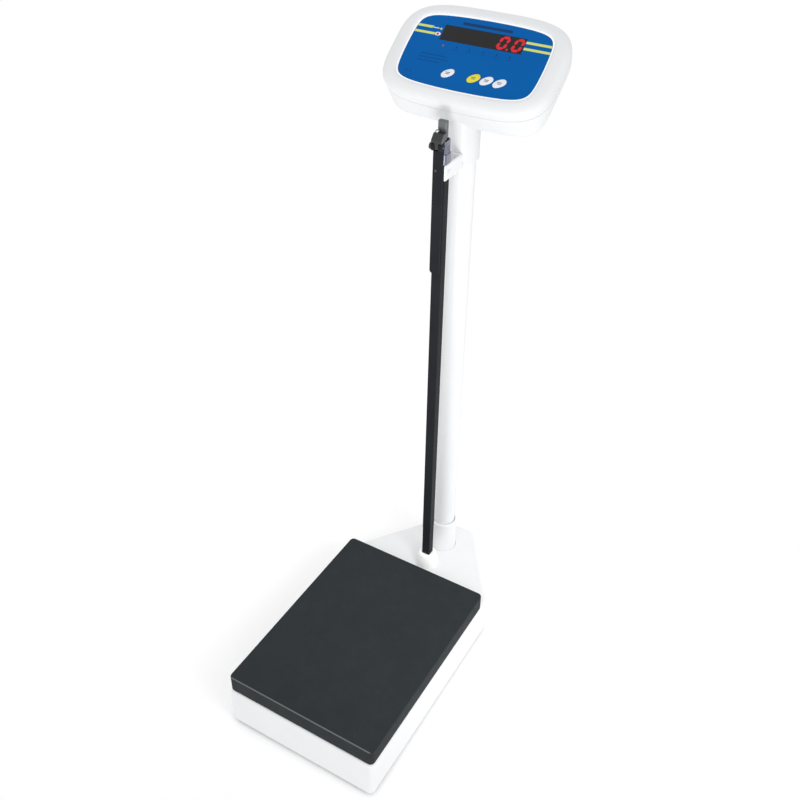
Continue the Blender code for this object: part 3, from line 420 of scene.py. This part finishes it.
def fillet(points, radii, steps=5, closed=False):
    """A polyline with its corners rounded; a radius of 0 keeps a corner."""
    points = [Vector(p) for p in points]
    made = []
    count = len(points)
    for i, (here, radius) in enumerate(zip(points, radii)):
        ends = not closed and i in (0, count - 1)
        if ends or radius <= 0:
            made.append(here)
            continue
        before = points[i - 1] - here
        after = points[(i + 1) % count] - here
        half = before.angle(after) / 2
        if half > math.radians(89.5):
            made.append(here)
            continue
        reach = min(radius / math.tan(half), 0.49 * before.length, 0.49 * after.length)
        true_radius = reach * math.tan(half)
        before, after = before.normalized(), after.normalized()
        centre = here + (before + after).normalized() * (true_radius / math.sin(half))
        start, end = here + before * reach - centre, here + after * reach - centre
        sweep = start.angle(end)
        for step in range(steps + 1):
            t = step / steps
            turned = start * math.sin((1 - t) * sweep) + end * math.sin(t * sweep)
            made.append(centre + turned / math.sin(sweep))
    return made


def lathe(name, profile, place, radii=None, sides=96, solid=True):
    """Turns a profile of (radius, height) round a vertical axis; corners take the given radii."""
    corners = fillet(profile, radii or [0.0] * len(profile), closed=solid and profile[0][0] > 0)
    place = Vector(place)
    bm = bmesh.new()
    columns = []
    for side in range(sides):
        angle = 2 * math.pi * side / sides
        c, s = math.cos(angle), math.sin(angle)
        columns.append([(r * c, r * s, z) for r, z in corners])
    rings = []
    for index, (r, z) in enumerate(corners):
        if r < 0.000001:
            rings.append([bm.verts.new(place + Vector((0.0, 0.0, z)))])
        else:
            rings.append([bm.verts.new(place + Vector(column[index])) for column in columns])
    pairs = list(zip(rings, rings[1:]))
    if corners[0][0] > 0.000001:
        pairs.append((rings[-1], rings[0]))
    for first, second in pairs:
        for i in range(sides):
            j = (i + 1) % sides
            if len(first) == 1 and len(second) == 1:
                continue
            if len(first) == 1:
                bm.faces.new((first[0], second[i], second[j]))
            elif len(second) == 1:
                bm.faces.new((first[i], first[j], second[0]))
            else:
                bm.faces.new((first[i], first[j], second[j], second[i]))
    return smooth(from_bmesh(name, bm))


def rounded(corners, radii, steps=8):
    return fillet(corners, radii, steps, closed=True)


def rectangle(half_x, half_y, centre=(0.0, 0.0)):
    x, y = centre
    return [
        (x - half_x, y - half_y), (x + half_x, y - half_y), (x + half_x, y + half_y), (x - half_x, y + half_y),
    ]


def oval(half_x, half_y, power, count, centre=(0.0, 0.0)):
    """A superellipse: power 2 is an ellipse, and a higher power nears a rectangle."""
    points = []
    for i in range(count):
        angle = 2 * math.pi * i / count
        c, s = math.cos(angle), math.sin(angle)
        x = math.copysign(abs(c) ** (2 / power), c) * half_x
        y = math.copysign(abs(s) ** (2 / power), s) * half_y
        points.append((centre[0] + x, centre[1] + y))
    return points


def evenly(points, count):
    """The same closed outline, resampled to count points at equal steps along it."""
    lengths = [0.0]
    for first, second in zip(points, points[1:] + points[:1]):
        lengths.append(lengths[-1] + math.dist(first, second))
    made = []
    index = 0
    for i in range(count):
        target = lengths[-1] * i / count
        while lengths[index + 1] < target:
            index += 1
        share = (target - lengths[index]) / (lengths[index + 1] - lengths[index])
        first, second = points[index], points[(index + 1) % len(points)]
        made.append(tuple(a + (b - a) * share for a, b in zip(first, second)))
    return made


def head_outline(half_x, top, bottom, power, bulge=(0.0, 0.0), count=200):
    """A superellipse between two heights on the face, its sides bulging out between its corners."""
    half_y, middle = (top - bottom) / 2, (top + bottom) / 2
    points = []
    for x, y in oval(half_x, half_y, power, 1440):
        across = x * (1 - bulge[0] * (y / half_y) ** 2)
        along = y * (1 - bulge[1] * (x / half_x) ** 2)
        points.append((across, middle + along))
    return evenly(points, count)


def film_outline(grow, count=200):
    """The printed film's outline, grown by a distance."""
    half_x, half_y = FILM_HALF[0] + grow, FILM_HALF[1] + grow
    return head_outline(half_x, half_y, -half_y, FILM_POWER, FILM_BULGE, count)


def key_outline(grow, centre, count=64):
    """A key's slanted oval, grown by a distance."""
    c, s = math.cos(KEY_TILT), math.sin(KEY_TILT)
    points = oval(KEY_HALF[0] + grow, KEY_HALF[1] + grow, KEY_POWER, count)
    return [(centre[0] + x * c - y * s, centre[1] + x * s + y * c) for x, y in points]


def plate(name, outlines, low, high):
    """A flat plate between two heights: the first outline is its edge, the others are holes."""
    curve = bpy.data.curves.new(name, "CURVE")
    curve.dimensions = "2D"
    curve.fill_mode = "BOTH"
    curve.extrude = (high - low) / 2
    for points in outlines:
        spline = curve.splines.new("POLY")
        spline.points.add(len(points) - 1)
        for target, point in zip(spline.points, points):
            target.co = (point[0], point[1], 0.0, 1.0)
        spline.use_cyclic_u = True
    guide = link(bpy.data.objects.new(name + "_outline", curve))
    bpy.context.view_layer.update()
    mesh = bpy.data.meshes.new_from_object(guide.evaluated_get(bpy.context.evaluated_depsgraph_get()))
    bpy.data.objects.remove(guide)
    bm = bmesh.new()
    bm.from_mesh(mesh)
    bpy.data.meshes.remove(mesh)
    bmesh.ops.remove_doubles(bm, verts=bm.verts, dist=0.000005)
    bmesh.ops.dissolve_limit(bm, angle_limit=0.0001, verts=bm.verts, edges=bm.edges)
    bmesh.ops.translate(bm, vec=(0.0, 0.0, (low + high) / 2), verts=bm.verts)
    return from_bmesh(name, bm)


def tray(name, outline, top, depth, wall, edge, segments=6):
    """An upside-down tray with a rounded top edge, open below."""
    bm = bmesh.new()
    rim = [bm.verts.new((p[0], p[1], top)) for p in outline]
    lid = bm.faces.new(rim)
    grown = bmesh.ops.extrude_edge_only(bm, edges=lid.edges[:])["geom"]
    lower = [v for v in grown if isinstance(v, bmesh.types.BMVert)]
    bmesh.ops.translate(bm, vec=(0.0, 0.0, -depth), verts=lower)
    obj = from_bmesh(name, bm)
    if obj.data.polygons[0].normal.z < 0:
        obj.data.flip_normals()
    curve = obj.modifiers.new("edge", "BEVEL")
    curve.width = edge
    curve.segments = segments
    curve.limit_method = "ANGLE"
    curve.angle_limit = math.radians(60.0)
    shell = obj.modifiers.new("wall", "SOLIDIFY")
    shell.thickness = wall
    shell.offset = -1.0
    shell.use_even_offset = True
    return obj


def finish(obj, node, stuff=None, body=None, angle=None):
    """Stands a finished piece in for a CAD node, with the node's body and material slot."""
    slot = SLOT_OF[node]
    obj.data.materials.clear()
    obj.data.materials.append(stuff or SLOT_FINISH[slot])
    if angle:
        smooth(obj, angle)
    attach(obj, body or BODY_OF[node])
    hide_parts(node)
    return obj


def detail(obj, like, stuff, slot=None, angle=None):
    """A detail that rides with a CAD node and replaces nothing."""
    obj.data.materials.clear()
    obj.data.materials.append(stuff)
    if angle:
        smooth(obj, angle)
    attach(obj, BODY_OF[like])
    return obj


def refined(node, width, segments=2, angle=32.0, stuff=None):
    """A copy of a CAD node's mesh with its edges rounded, in place of the node."""
    bm = bmesh.new()
    bm.from_mesh(frame["nodes"][node].data)
    bmesh.ops.remove_doubles(bm, verts=bm.verts, dist=0.000005)
    bmesh.ops.dissolve_limit(bm, angle_limit=math.radians(0.5), verts=bm.verts, edges=bm.edges)
    obj = from_bmesh(node + "_finished", bm)
    round_edges(obj, width, segments, angle)
    return finish(obj, node, stuff)


SLOT_OF = {part["node"]: part["material_slot"] for part in frame["record"]["subparts"]}
BODY_OF = {
    node: body for body, members in frame["record"]["behaviour"]["bodies"].items() for node in members
}


# Base and platform.

def base_outline(inset=0.0):
    half, front, rear = BASE_HIGH.x - inset, BASE_LOW.y + inset, BASE_HIGH.y - inset
    corners = [
        (-half, front), (half, front), (half, SHOULDER_Y),
        (BRIDGE_REAR_HALF, rear), (-BRIDGE_REAR_HALF, rear), (-half, SHOULDER_Y),
    ]
    return rounded(corners, [0.009, 0.009, 0.020, 0.012, 0.012, 0.020])


def build_base():
    depth = BASE_HIGH.z - BASE_LOW.z
    cover = settle(tray("base_shell", base_outline(), DECK_Z, depth, 0.002, BASE_EDGE))
    socket_hole = rod("c1", 0.0254, (0, COLUMN_Y, 0.06), (0, COLUMN_Y, 0.10), 96)
    rod_hole = rod("c2", 0.0104, (0, ROD_Y, 0.06), (0, ROD_Y, 0.10))
    deck_hole = box("c3", (-0.105, PLATFORM_Y - 0.150, 0.06), (0.105, PLATFORM_Y + 0.150, 0.10))
    carve(cover, socket_hole, rod_hole, deck_hole)
    finish(cover, "base_cover", angle=35.0)

    mat = settle(tray(
        "platform_mat",
        rounded(rectangle(MAT_HIGH.x, (MAT_HIGH.y - MAT_LOW.y) / 2, (0.0, PLATFORM_Y)), [0.008] * 4),
        MAT_HIGH.z, MAT_HIGH.z - MAT_LOW.z, MAT_WALL, MAT_EDGE,
    ))
    finish(mat, "rubber_mat", angle=50.0)


def build_feet():
    for side in ("front_left", "front_right", "rear_left", "rear_right"):
        node = "foot_pad_" + side
        place = centre_of(node)
        place.z = 0.0
        pad = lathe(
            node + "_tread",
            [(0.0, 0.0060), (0.0150, 0.0060), (0.0170, 0.0042), (0.0170, 0.0), (0.0138, 0.0),
             (0.0130, 0.0008), (0.0, 0.0008)],
            place, [0, 0.0008, 0.0008, 0.0005, 0.0003, 0.0003, 0], 64, solid=False,
        )
        finish(pad, node)
        stud = "foot_stud_" + side
        finish(lathe(
            stud + "_turned",
            [(0.0, 0.0300), (0.0034, 0.0300), (0.0040, 0.0292), (0.0040, 0.0090),
             (0.0080, 0.0090), (0.0080, 0.0063), (0.0, 0.0063)],
            place, [0, 0, 0, 0, 0.0004, 0.0004, 0], 48, solid=False,
        ), stud)


# Column.

def build_column():
    axis = (0.0, COLUMN_Y, 0.0)
    low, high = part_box("column_socket")
    radius = 0.0250
    socket = lathe(
        "socket_turned",
        [(0.0214, high.z), (radius, high.z), (radius, 0.0225), (0.0410, 0.0225), (0.0410, low.z),
         (0.0207, low.z), (0.0207, high.z - 0.0012)],
        axis, [0.0008, 0.0022, 0.0, 0.001, 0.001, 0.0, 0.0], 128,
    )
    finish(socket, "column_socket")
    low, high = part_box("column_tube")
    tube = lathe(
        "column_turned",
        [(high.x, high.z), (high.x, low.z), (high.x - 0.002, low.z), (high.x - 0.002, high.z)],
        axis, [0.0004] * 4, 128,
    )
    finish(tube, "column_tube")
    low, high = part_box("head_neck")
    neck = lathe(
        "neck_turned",
        [(high.x, high.z - 0.004), (high.x, low.z), (0.0204, low.z), (0.0204, high.z - 0.004)],
        axis, [0.0, 0.0026, 0.0004, 0.0], 128,
    )
    finish(neck, "head_neck")


# Height rod.

def tube_outline(half, corner):
    return rounded(rectangle(half, half, (0.0, ROD_Y)), [corner] * 4, 6)


def build_rods():
    low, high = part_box("rod_socket")
    boss = lathe(
        "boss_turned",
        [(0.0, high.z), (0.0150, high.z), (0.0196, high.z - 0.0150), (0.0215, DECK_Z + 0.0002),
         (0.0100, DECK_Z + 0.0002), (0.0100, low.z), (0.0, low.z)],
        (0.0, ROD_Y, 0.0), [0, 0.0046, 0.006, 0.0012, 0, 0.001, 0], 96, solid=False,
    )
    carve(boss, plate("c1", [tube_outline(0.0080, 0.0016)], high.z - 0.019, high.z + 0.010))
    finish(boss, "rod_socket", angle=35.0)

    graduated_black = graduated("black_rule", BLACK_METAL)
    graduated_alloy = graduated("alloy_rule", ALUMINIUM)
    for node, half, wall, corner, stuff in (
        ("outer_rod", 0.0080, 0.0012, 0.0015, BLACK_METAL),
        ("middle_rod", 0.0064, 0.0011, 0.0012, graduated_black),
        ("inner_rod", 0.0049, None, 0.0009, graduated_alloy),
        ("rod_foot", 0.0077, None, 0.0014, BLACK_METAL),
    ):
        low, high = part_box(node)
        if node == "rod_foot":
            high.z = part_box("outer_rod")[0].z
        outlines = [tube_outline(half, corner)]
        if wall:
            outlines.append(tube_outline(half - wall, corner * 0.5))
        piece = plate(node + "_drawn", outlines, low.z, high.z)
        round_edges(piece, 0.00035, 2, 60.0)
        finish(piece, node, stuff)


def build_fittings():
    for node, half, corner, hole in (
        ("rod_ferrule", 0.0100, 0.0048, 0.0083), ("rod_collar", 0.0088, 0.0042, 0.0067),
    ):
        low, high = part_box(node)
        outlines = [tube_outline(half, corner), tube_outline(hole, 0.0014)]
        piece = plate(node + "_polished", outlines, low.z, high.z)
        round_edges(piece, 0.0011, 4, 60.0)
        finish(piece, node)
    refined("rod_bracket", 0.0005, 2, 60.0)
    for side in ("left", "right"):
        low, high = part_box("bracket_screw_" + side)
        z = centre_of("bracket_screw_" + side).z
        piece = rod("bracket_screw_%s_turned" % side, 0.0026, (low.x, ROD_Y, z), (high.x, ROD_Y, z))
        round_edges(piece, 0.0005, 3)
        finish(piece, "bracket_screw_" + side)


def build_hinge():
    for node, width, stuff in (
        ("rod_head", 0.0003, GREY_PLATE), ("arm_hinge_block", 0.0005, GLOSS_BLACK),
        ("hinge_cap_screw", 0.0003, None), ("measuring_arm", 0.0004, None), ("arm_rivet", 0.0002, DARK_STEEL),
    ):
        refined(node, width, stuff=stuff)
    low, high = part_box("arm_hinge_pin")
    y, z = PIVOT.y, PIVOT.z
    pin = rod("hinge_pin_turned", 0.0020, (low.x + 0.001, y, z), (high.x, y, z))
    head = rod("c1", 0.0050, (low.x, y, z), (low.x + 0.0037, y, z), 64)
    carve(pin, head, operation="UNION")
    round_edges(pin, 0.0008, 3)
    finish(pin, "arm_hinge_pin", GLOSS_BLACK)


# Head.

def head_points(ring):
    half_x, top, bottom, power, z = ring
    return [Vector((x, y, z)) for x, y in head_outline(half_x, top, bottom, power)]


def film_points(grow, z):
    return [Vector((x, y, z)) for x, y in film_outline(grow)]


def between(first, second, share, z):
    """A ring part of the way from one ring to another, at its own height."""
    made = [a.lerp(b, share) for a, b in zip(first, second)]
    return [Vector((p.x, p.y, z)) for p in made]


def through(rings, steps):
    """Rings on a smooth curve through the given rings (Catmull-Rom)."""
    made = []
    for i in range(len(rings) - 1):
        before, after = rings[max(i - 1, 0)], rings[min(i + 2, len(rings) - 1)]
        here, there = rings[i], rings[i + 1]
        for step in range(steps):
            t = step / steps
            made.append(tuple(
                0.5 * (2 * b + (c - a) * t + (2 * a - 5 * b + 4 * c - d) * t * t
                       + (3 * b - a - 3 * c + d) * t ** 3)
                for a, b, c, d in zip(before, here, there, after)
            ))
    made.append(rings[-1])
    return made


def wall_of(obj, thickness):
    made = obj.modifiers.new("wall", "SOLIDIFY")
    made.thickness = thickness
    made.offset = -1.0
    made.use_even_offset = False
    return settle(obj)


def outward(obj, centre):
    """Turns an open skin so that its faces point away from a point."""
    total = sum((p.center - Vector(centre)).dot(p.normal) * p.area for p in obj.data.polygons)
    if total < 0:
        obj.data.flip_normals()
    return obj


def build_head_shells():
    edge = [
        (0.1299, 0.0774, -0.0799, 3.9, 0.0001 - PART_LINE), (0.1303, 0.0778, -0.0803, 3.9, -0.0160),
        (0.1310, 0.0785, -0.0808, 3.8, -0.0090), (0.1307, 0.0784, -0.0802, 3.8, -0.0052),
        (0.1292, 0.0775, -0.0780, 3.8, -0.0020), (0.1262, 0.0754, -0.0742, 3.8, 0.0002),
        (0.1225, 0.0728, -0.0708, 3.9, 0.0012),
    ]
    rings = [head_points(r) for r in through(edge, 4)]
    inner = film_points(0.0036, 0.0)
    steps = ((0.3, 0.0017), (0.65, 0.0021), (1.0, 0.0021))
    rings += [between(rings[-1], inner, share, z) for share, z in steps]
    rings += [film_points(grow, z) for grow, z in (
        (0.0032, 0.0019), (0.0028, 0.0014), (0.0014, 0.0003), (0.0006, -0.0004), (0.0004, -0.0012),
        (-0.0060, -0.0012),
    )]
    front = loft("front_housing", rings)
    wall_of(outward(front, (0.0, 0.0, -0.03)), SHELL_WALL)
    front.matrix_world = FACE
    finish(front, "head_front_shell", angle=40.0)
    # A glowing ring round the film: a painted highlight in place of light on the bezel's recess slope.
    border = plate("film_highlight_ring", [film_outline(0.0022, 240), film_outline(0.0001, 240)], -0.0002, 0.0007)
    border.matrix_world = FACE
    detail(border, "head_front_shell", GLOWING_HIGHLIGHT_WHITE, "white_plastic")

    side = [
        (0.1299, 0.0774, -0.0799, 3.9, -PART_LINE - 0.0003), (0.1285, 0.0760, -0.0809, 4.1, -0.0250),
        (0.1262, 0.0735, -0.0812, 4.4, -0.0340), (0.1230, 0.0703, -0.0804, 5.2, -0.0430),
        (0.1190, 0.0665, -0.0789, 6.0, -0.0505), (0.1158, 0.0630, -0.0768, 6.0, -0.0547),
        (0.1120, 0.0590, -0.0740, 6.0, -0.0560), (0.1000, 0.0500, -0.0640, 6.0, -0.0560),
    ]
    rear = loft("rear_housing", [head_points(r) for r in through(side, 4)], close_last=True)
    wall_of(outward(rear, (0.0, 0.0, -0.03)), SHELL_WALL)
    rear.matrix_world = FACE
    bpy.context.view_layer.update()
    cutters = [
        rod("c1", 0.0048, centre_of("power_inlet") - Vector((0, 0, 0.03)), centre_of("power_inlet")),
        rod("c2", 0.0080, (0, COLUMN_Y, 0.91), (0, COLUMN_Y, 0.965)),
    ]
    for name in ("upper_left", "upper_right", "lower_left", "lower_right"):
        x, y, _ = in_face(centre_of("head_screw_" + name))
        cutter = rod("c_" + name, 0.0052, (x, y, -0.0550), (x, y, -0.070))
        cutter.matrix_world = FACE
        cutters.append(cutter)
    carve(rear, *cutters)
    finish(rear, "head_rear_shell", angle=35.0)


def build_head_screws():
    for name in ("upper_left", "upper_right", "lower_left", "lower_right"):
        place = in_face(centre_of("head_screw_" + name))
        screw = lathe(
            "head_screw_%s_turned" % name,
            [(0.0, -0.0350), (0.0015, -0.0350), (0.0015, -0.0560), (0.0037, -0.0560), (0.0037, -0.0567),
             (0.0024, -0.0580), (0.0, -0.0582)],
            (place.x, place.y, 0.0), [0, 0.0003, 0, 0, 0.0004, 0.001, 0], 48, solid=False,
        )
        arm = 0.0021
        slots = [
            box("c1", (place.x - arm, place.y - 0.0004, -0.062), (place.x + arm, place.y + 0.0004, -0.0571)),
            box("c2", (place.x - 0.0004, place.y - arm, -0.062), (place.x + 0.0004, place.y + arm, -0.0571)),
        ]
        carve(screw, *slots)
        screw.matrix_world = FACE
        finish(screw, "head_screw_" + name, angle=35.0)


def film_edge(y):
    """How far the film reaches from its middle at height y on the face."""
    half_x, half_y = FILM_HALF
    x = half_x
    for _ in range(12):
        flat_y = y / (1 - FILM_BULGE[1] * (x / half_x) ** 2)
        x = half_x * (1 - abs(flat_y / half_y) ** FILM_POWER) ** (1 / FILM_POWER)
        x *= 1 - FILM_BULGE[0] * (flat_y / half_y) ** 2
    return x


def key_places():
    return {name: in_face(centre_of(name)) for name in KEYS}


def on_face(obj, like, stuff, slot, angle=None):
    obj.matrix_world = FACE
    return detail(obj, like, stuff, slot, angle)


def print_patch(name, outline, stuff, slot="overlay_blue", base=0.0, height=0.00005):
    """A patch of printing on the film: a very thin plate of its own."""
    return on_face(plate(name, [outline], base, base + height), "overlay_film", stuff, slot)


def build_face():
    gap = 0.0002
    window = rounded(rectangle(WINDOW_HALF[0] + gap, WINDOW_HALF[1] + gap, WINDOW_CENTRE), [0.0006] * 4, 3)
    holes = [key_outline(0.0003, (p.x, p.y)) for p in key_places().values()]
    film = plate("face_film", [film_outline(0.0, 240), window, *holes], -FILM_THICKNESS, 0.0)
    film.matrix_world = FACE
    round_edges(film, 0.00012, 2, 50.0)
    finish(film, "overlay_film")
    lens = plate(
        "window_lens", [rounded(rectangle(*WINDOW_HALF, WINDOW_CENTRE), [0.0005] * 4, 3)], -0.0036, -0.0001,
    )
    lens.matrix_world = FACE
    round_edges(lens, 0.00015, 2, 50.0)
    finish(lens, "display_window")


def build_stripes():
    left_end, right_end = WINDOW_CENTRE[0] - WINDOW_HALF[0], WINDOW_CENTRE[0] + WINDOW_HALF[0]
    half = 0.0019
    gap = 0.0006
    for name, y, inner in (("upper", 0.0343, -0.0805), ("lower", 0.0242, -0.0725)):
        outline = [
            (-film_edge(y - half) + gap, y - half), (inner, y - half), (inner + 0.002, y + half),
            (-film_edge(y + half) + gap, y + half),
        ]
        print_patch("stripe_left_" + name, outline, FILM_YELLOW)
    for name, y in (("upper", 0.0358), ("lower", 0.0257)):
        outline = [
            (right_end + gap, y - half), (film_edge(y - half) - gap, y - half),
            (film_edge(y + half) - gap, y + half), (right_end + gap, y + half),
        ]
        print_patch("stripe_right_" + name, outline, FILM_YELLOW)
    print_patch("stripe_tick", oval(0.0016, 0.0016, 2.0, 32, (left_end - 0.0045, 0.0335)), FILM_YELLOW)
    link_bar = rounded(rectangle(0.0050, 0.0006, (left_end - 0.0125, 0.0338)), [0.0005] * 4, 3)
    print_patch("stripe_link", link_bar, FILM_WHITE)
    print_patch("lamp_ring", oval(0.0045, 0.0030, 2.0, 48, (left_end - 0.0062, 0.0246)), FILM_WHITE)


def build_marks():
    """Generic print: plain bars where the real film has words, and small dots under the window."""
    print_patch("title_bar", rounded(rectangle(0.0385, 0.0022, (0.0010, 0.0482)), [0.0018] * 4, 6), FILM_NAVY)
    for number, x in enumerate((-0.0304, -0.0100, 0.0114, 0.0316, 0.0520)):
        print_patch("mark_dot_%d" % number, oval(0.0012, 0.0012, 2.0, 24, (x, 0.0084)), FILM_NAVY)
        print_patch("mark_bar_%d" % number, rectangle(0.0042, 0.0006, (x, 0.0045)), FILM_SHADE)
    for number, (half, y) in enumerate(((0.0210, -0.0095), (0.0230, -0.0150), (0.0170, -0.0205))):
        print_patch("note_bar_%d" % number, rectangle(half, 0.0009, (-0.0800 + half, y)), FILM_SHADE)
    for number, x in enumerate((-0.0885, -0.0815)):
        print_patch("corner_mark_%d" % number, rectangle(0.0022, 0.0012, (x, -0.0410)), FILM_SHADE)


def lamp(name, x, y, radius):
    dome = lathe(
        name, [(0.0, 0.0006), (radius * 0.7, 0.0005), (radius, 0.0), (radius, -0.0003), (0.0, -0.0003)],
        (x, y, 0.0), [0, 0.0005, 0, 0, 0], 32, solid=False,
    )
    on_face(dome, "overlay_film", LAMP_RED, "key_yellow")


# Seven-segment digits: each segment is (across, along) of its middle and whether it lies flat.
SEGMENTS = {
    "a": (0.0, 1.0, True), "b": (1.0, 0.5, False), "c": (1.0, -0.5, False), "d": (0.0, -1.0, True),
    "e": (-1.0, -0.5, False), "f": (-1.0, 0.5, False), "g": (0.0, 0.0, True),
}
DIGIT_HALF = (0.0052, 0.0090)
STROKE = 0.0021
SLANT = math.tan(math.radians(11.0))


def segment_outline(across, along, flat, centre):
    half_x, half_y = DIGIT_HALF
    mid_x, mid_y = across * half_x, along * half_y
    reach = (half_x if flat else half_y / 2) - 0.00035
    if flat:
        shape = [(-reach, 0), (-reach + STROKE, -STROKE), (reach - STROKE, -STROKE), (reach, 0),
                 (reach - STROKE, STROKE), (-reach + STROKE, STROKE)]
    else:
        shape = [(0, -reach), (STROKE, -reach + STROKE), (STROKE, reach - STROKE), (0, reach),
                 (-STROKE, reach - STROKE), (-STROKE, -reach + STROKE)]
    points = []
    for x, y in shape:
        px, py = mid_x + x, mid_y + y
        points.append((centre[0] + px + SLANT * py, centre[1] + py))
    return points


def build_digits():
    """Five digits behind the window, of which the last two show zero with a point between."""
    y = WINDOW_CENTRE[1]
    pitch = 0.0222
    last = 0.0553
    for place in range(5):
        x = last - place * pitch
        for name, (across, along, flat) in SEGMENTS.items():
            lit = place < 2 and name != "g"
            outline = segment_outline(across, along, flat, (x, y))
            on_face(plate("digit_%d_%s" % (place, name), [outline], -0.0001, -0.00004),
                    "display_window", SEGMENT_ON if lit else SEGMENT_OFF, "smoked_lens")
        point = oval(0.0016, 0.0016, 2.0, 32, (x + 0.0090, y - DIGIT_HALF[1] - 0.0004))
        on_face(plate("digit_%d_point" % place, [point], -0.0001, -0.00004),
                "display_window", SEGMENT_ON if place == 1 else SEGMENT_OFF, "smoked_lens")


def build_keys():
    for name, place in key_places().items():
        rings = []
        for share, z in ((1.0, -0.0030), (1.0, 0.0), (0.985, 0.0003), (0.94, 0.00055), (0.86, 0.0007)):
            shrink = (1 - share) * KEY_HALF[1]
            outline = key_outline(-shrink, (place.x, place.y))
            rings.append([Vector((x, y, z)) for x, y in outline])
        cap = loft(name + "_cap", rings, True, True)
        cap.matrix_world = FACE
        finish(cap, name, angle=40.0)
        for number, (half, offset) in enumerate(((0.0036, 0.0011), (0.0028, -0.0012))):
            outline = rounded(rectangle(half, 0.0006, (place.x, place.y + offset)), [0.0004] * 4, 3)
            bar = plate("%s_print_%d" % (name, number), [outline], 0.0007, 0.00074)
            bar.matrix_world = FACE
            detail(bar, name, KEY_PRINT)


def build_inlet():
    low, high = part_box("power_inlet")
    place = centre_of("power_inlet")
    jack = lathe(
        "inlet_turned",
        [(0.0, high.z), (0.0045, high.z), (0.0045, low.z), (0.0028, low.z), (0.0028, low.z + 0.0110),
         (0.0, low.z + 0.0110)],
        (place.x, place.y, 0.0), [0, 0.0004, 0.0006, 0.0004, 0, 0], 64, solid=False,
    )
    finish(jack, "power_inlet")
    pin = lathe(
        "inlet_pin",
        [(0.0, low.z + 0.0115), (0.0009, low.z + 0.0115), (0.0009, low.z + 0.0015), (0.0, low.z + 0.0010)],
        (place.x, place.y, 0.0), [0, 0, 0.0005, 0], 24, solid=False,
    )
    detail(pin, "power_inlet", STEEL, "steel")


def dress_frame():
    """Gives every CAD node that stays the finish of its material slot."""
    for node, obj in frame["nodes"].items():
        for slot in obj.material_slots:
            slot.material = SLOT_FINISH[SLOT_OF[node]]


# Floor, light and camera.

FLOOR_HALF = 9.0
FLOOR_GLOW = 0.08  # a little light of its own, so that the floor reads as white paper
WORLD_LIGHT = 0.86
SUN_LIGHT = 0.42


def build_floor():
    bm = bmesh.new()
    bmesh.ops.create_grid(bm, x_segments=1, y_segments=1, size=FLOOR_HALF)
    floor = from_bmesh("studio_floor", bm)
    paper = surface(
        "floor_white", (0.95, 0.95, 0.95), 0.9, specular=0.0, tone=0.004, tone_scale=2.0, depth=0.0,
    )
    shader = paper.node_tree.nodes["Principled BSDF"]
    shader.inputs["Emission Color"].default_value = (1.0, 1.0, 1.0, 1.0)
    shader.inputs["Emission Strength"].default_value = FLOOR_GLOW
    floor.data.materials.append(paper)


def build_light():
    world = bpy.data.worlds.new("studio")
    world.use_nodes = True
    tree = world.node_tree
    background = tree.nodes["Background"]
    background.inputs["Color"].default_value = (1.0, 1.0, 1.0, 1.0)
    background.inputs["Strength"].default_value = WORLD_LIGHT
    bpy.context.scene.world = world
    sky = bpy.data.lights.new("overhead_softbox", "SUN")
    sky.energy = SUN_LIGHT
    sky.angle = math.radians(60.0)
    aim(link(bpy.data.objects.new("overhead_softbox", sky)), (0.9, -0.7, 1.8))
    for name, place, target, size, power, spread in (
        ("head_softbox", (0.50, -1.05, 0.30), (0.02, 0.15, 0.95), 0.45, 0.60, 44.0),
        ("deck_softbox", (0.70, -0.35, 0.80), (0.00, 0.14, 0.10), 0.45, 0.45, 60.0),
    ):
        lamp_data = bpy.data.lights.new(name, "AREA")
        lamp_data.size = size
        lamp_data.energy = power
        lamp_data.spread = math.radians(spread)
        aim(link(bpy.data.objects.new(name, lamp_data)), place, target)


def aim(holder, place, target=(0.0, 0.0, 0.0)):
    holder.location = place
    holder.rotation_euler = (Vector(target) - Vector(place)).to_track_quat("-Z", "Y").to_euler()


CAMERA_PLACE = (0.59616, -1.00269, 1.43822)
CAMERA_AZIMUTH = math.radians(30.24)
CAMERA_ELEVATION = math.radians(37.18)
CAMERA_ROLL = math.radians(0.72)


def build_camera():
    data = bpy.data.cameras.new("camera")
    data.sensor_width = 36.0
    data.lens = 43.32
    data.clip_start = 0.05
    camera = link(bpy.data.objects.new("camera", data))
    level = math.cos(CAMERA_ELEVATION)
    back = Vector((
        math.sin(CAMERA_AZIMUTH) * level, -math.cos(CAMERA_AZIMUTH) * level, math.sin(CAMERA_ELEVATION),
    ))
    right = Vector((0.0, 0.0, 1.0)).cross(back).normalized()
    up = back.cross(right)
    turned_right = right * math.cos(CAMERA_ROLL) + up * math.sin(CAMERA_ROLL)
    turned_up = up * math.cos(CAMERA_ROLL) - right * math.sin(CAMERA_ROLL)
    axes = Matrix((turned_right, turned_up, back)).transposed().to_4x4()
    camera.matrix_world = Matrix.Translation(CAMERA_PLACE) @ axes
    bpy.context.scene.camera = camera


build_camera()
dress_frame()
build_base()
build_feet()
build_column()
build_rods()
build_fittings()
build_hinge()
build_head_shells()
build_head_screws()
build_face()
build_stripes()
build_marks()
lamp("lamp_window", WINDOW_CENTRE[0] - WINDOW_HALF[0] - 0.0062, 0.0246, 0.0021)
lamp("lamp_row", -0.0515, 0.0078, 0.0013)
build_digits()
build_keys()
build_inlet()
build_floor()
build_light()
bpy.context.scene.view_settings.view_transform = "Standard"
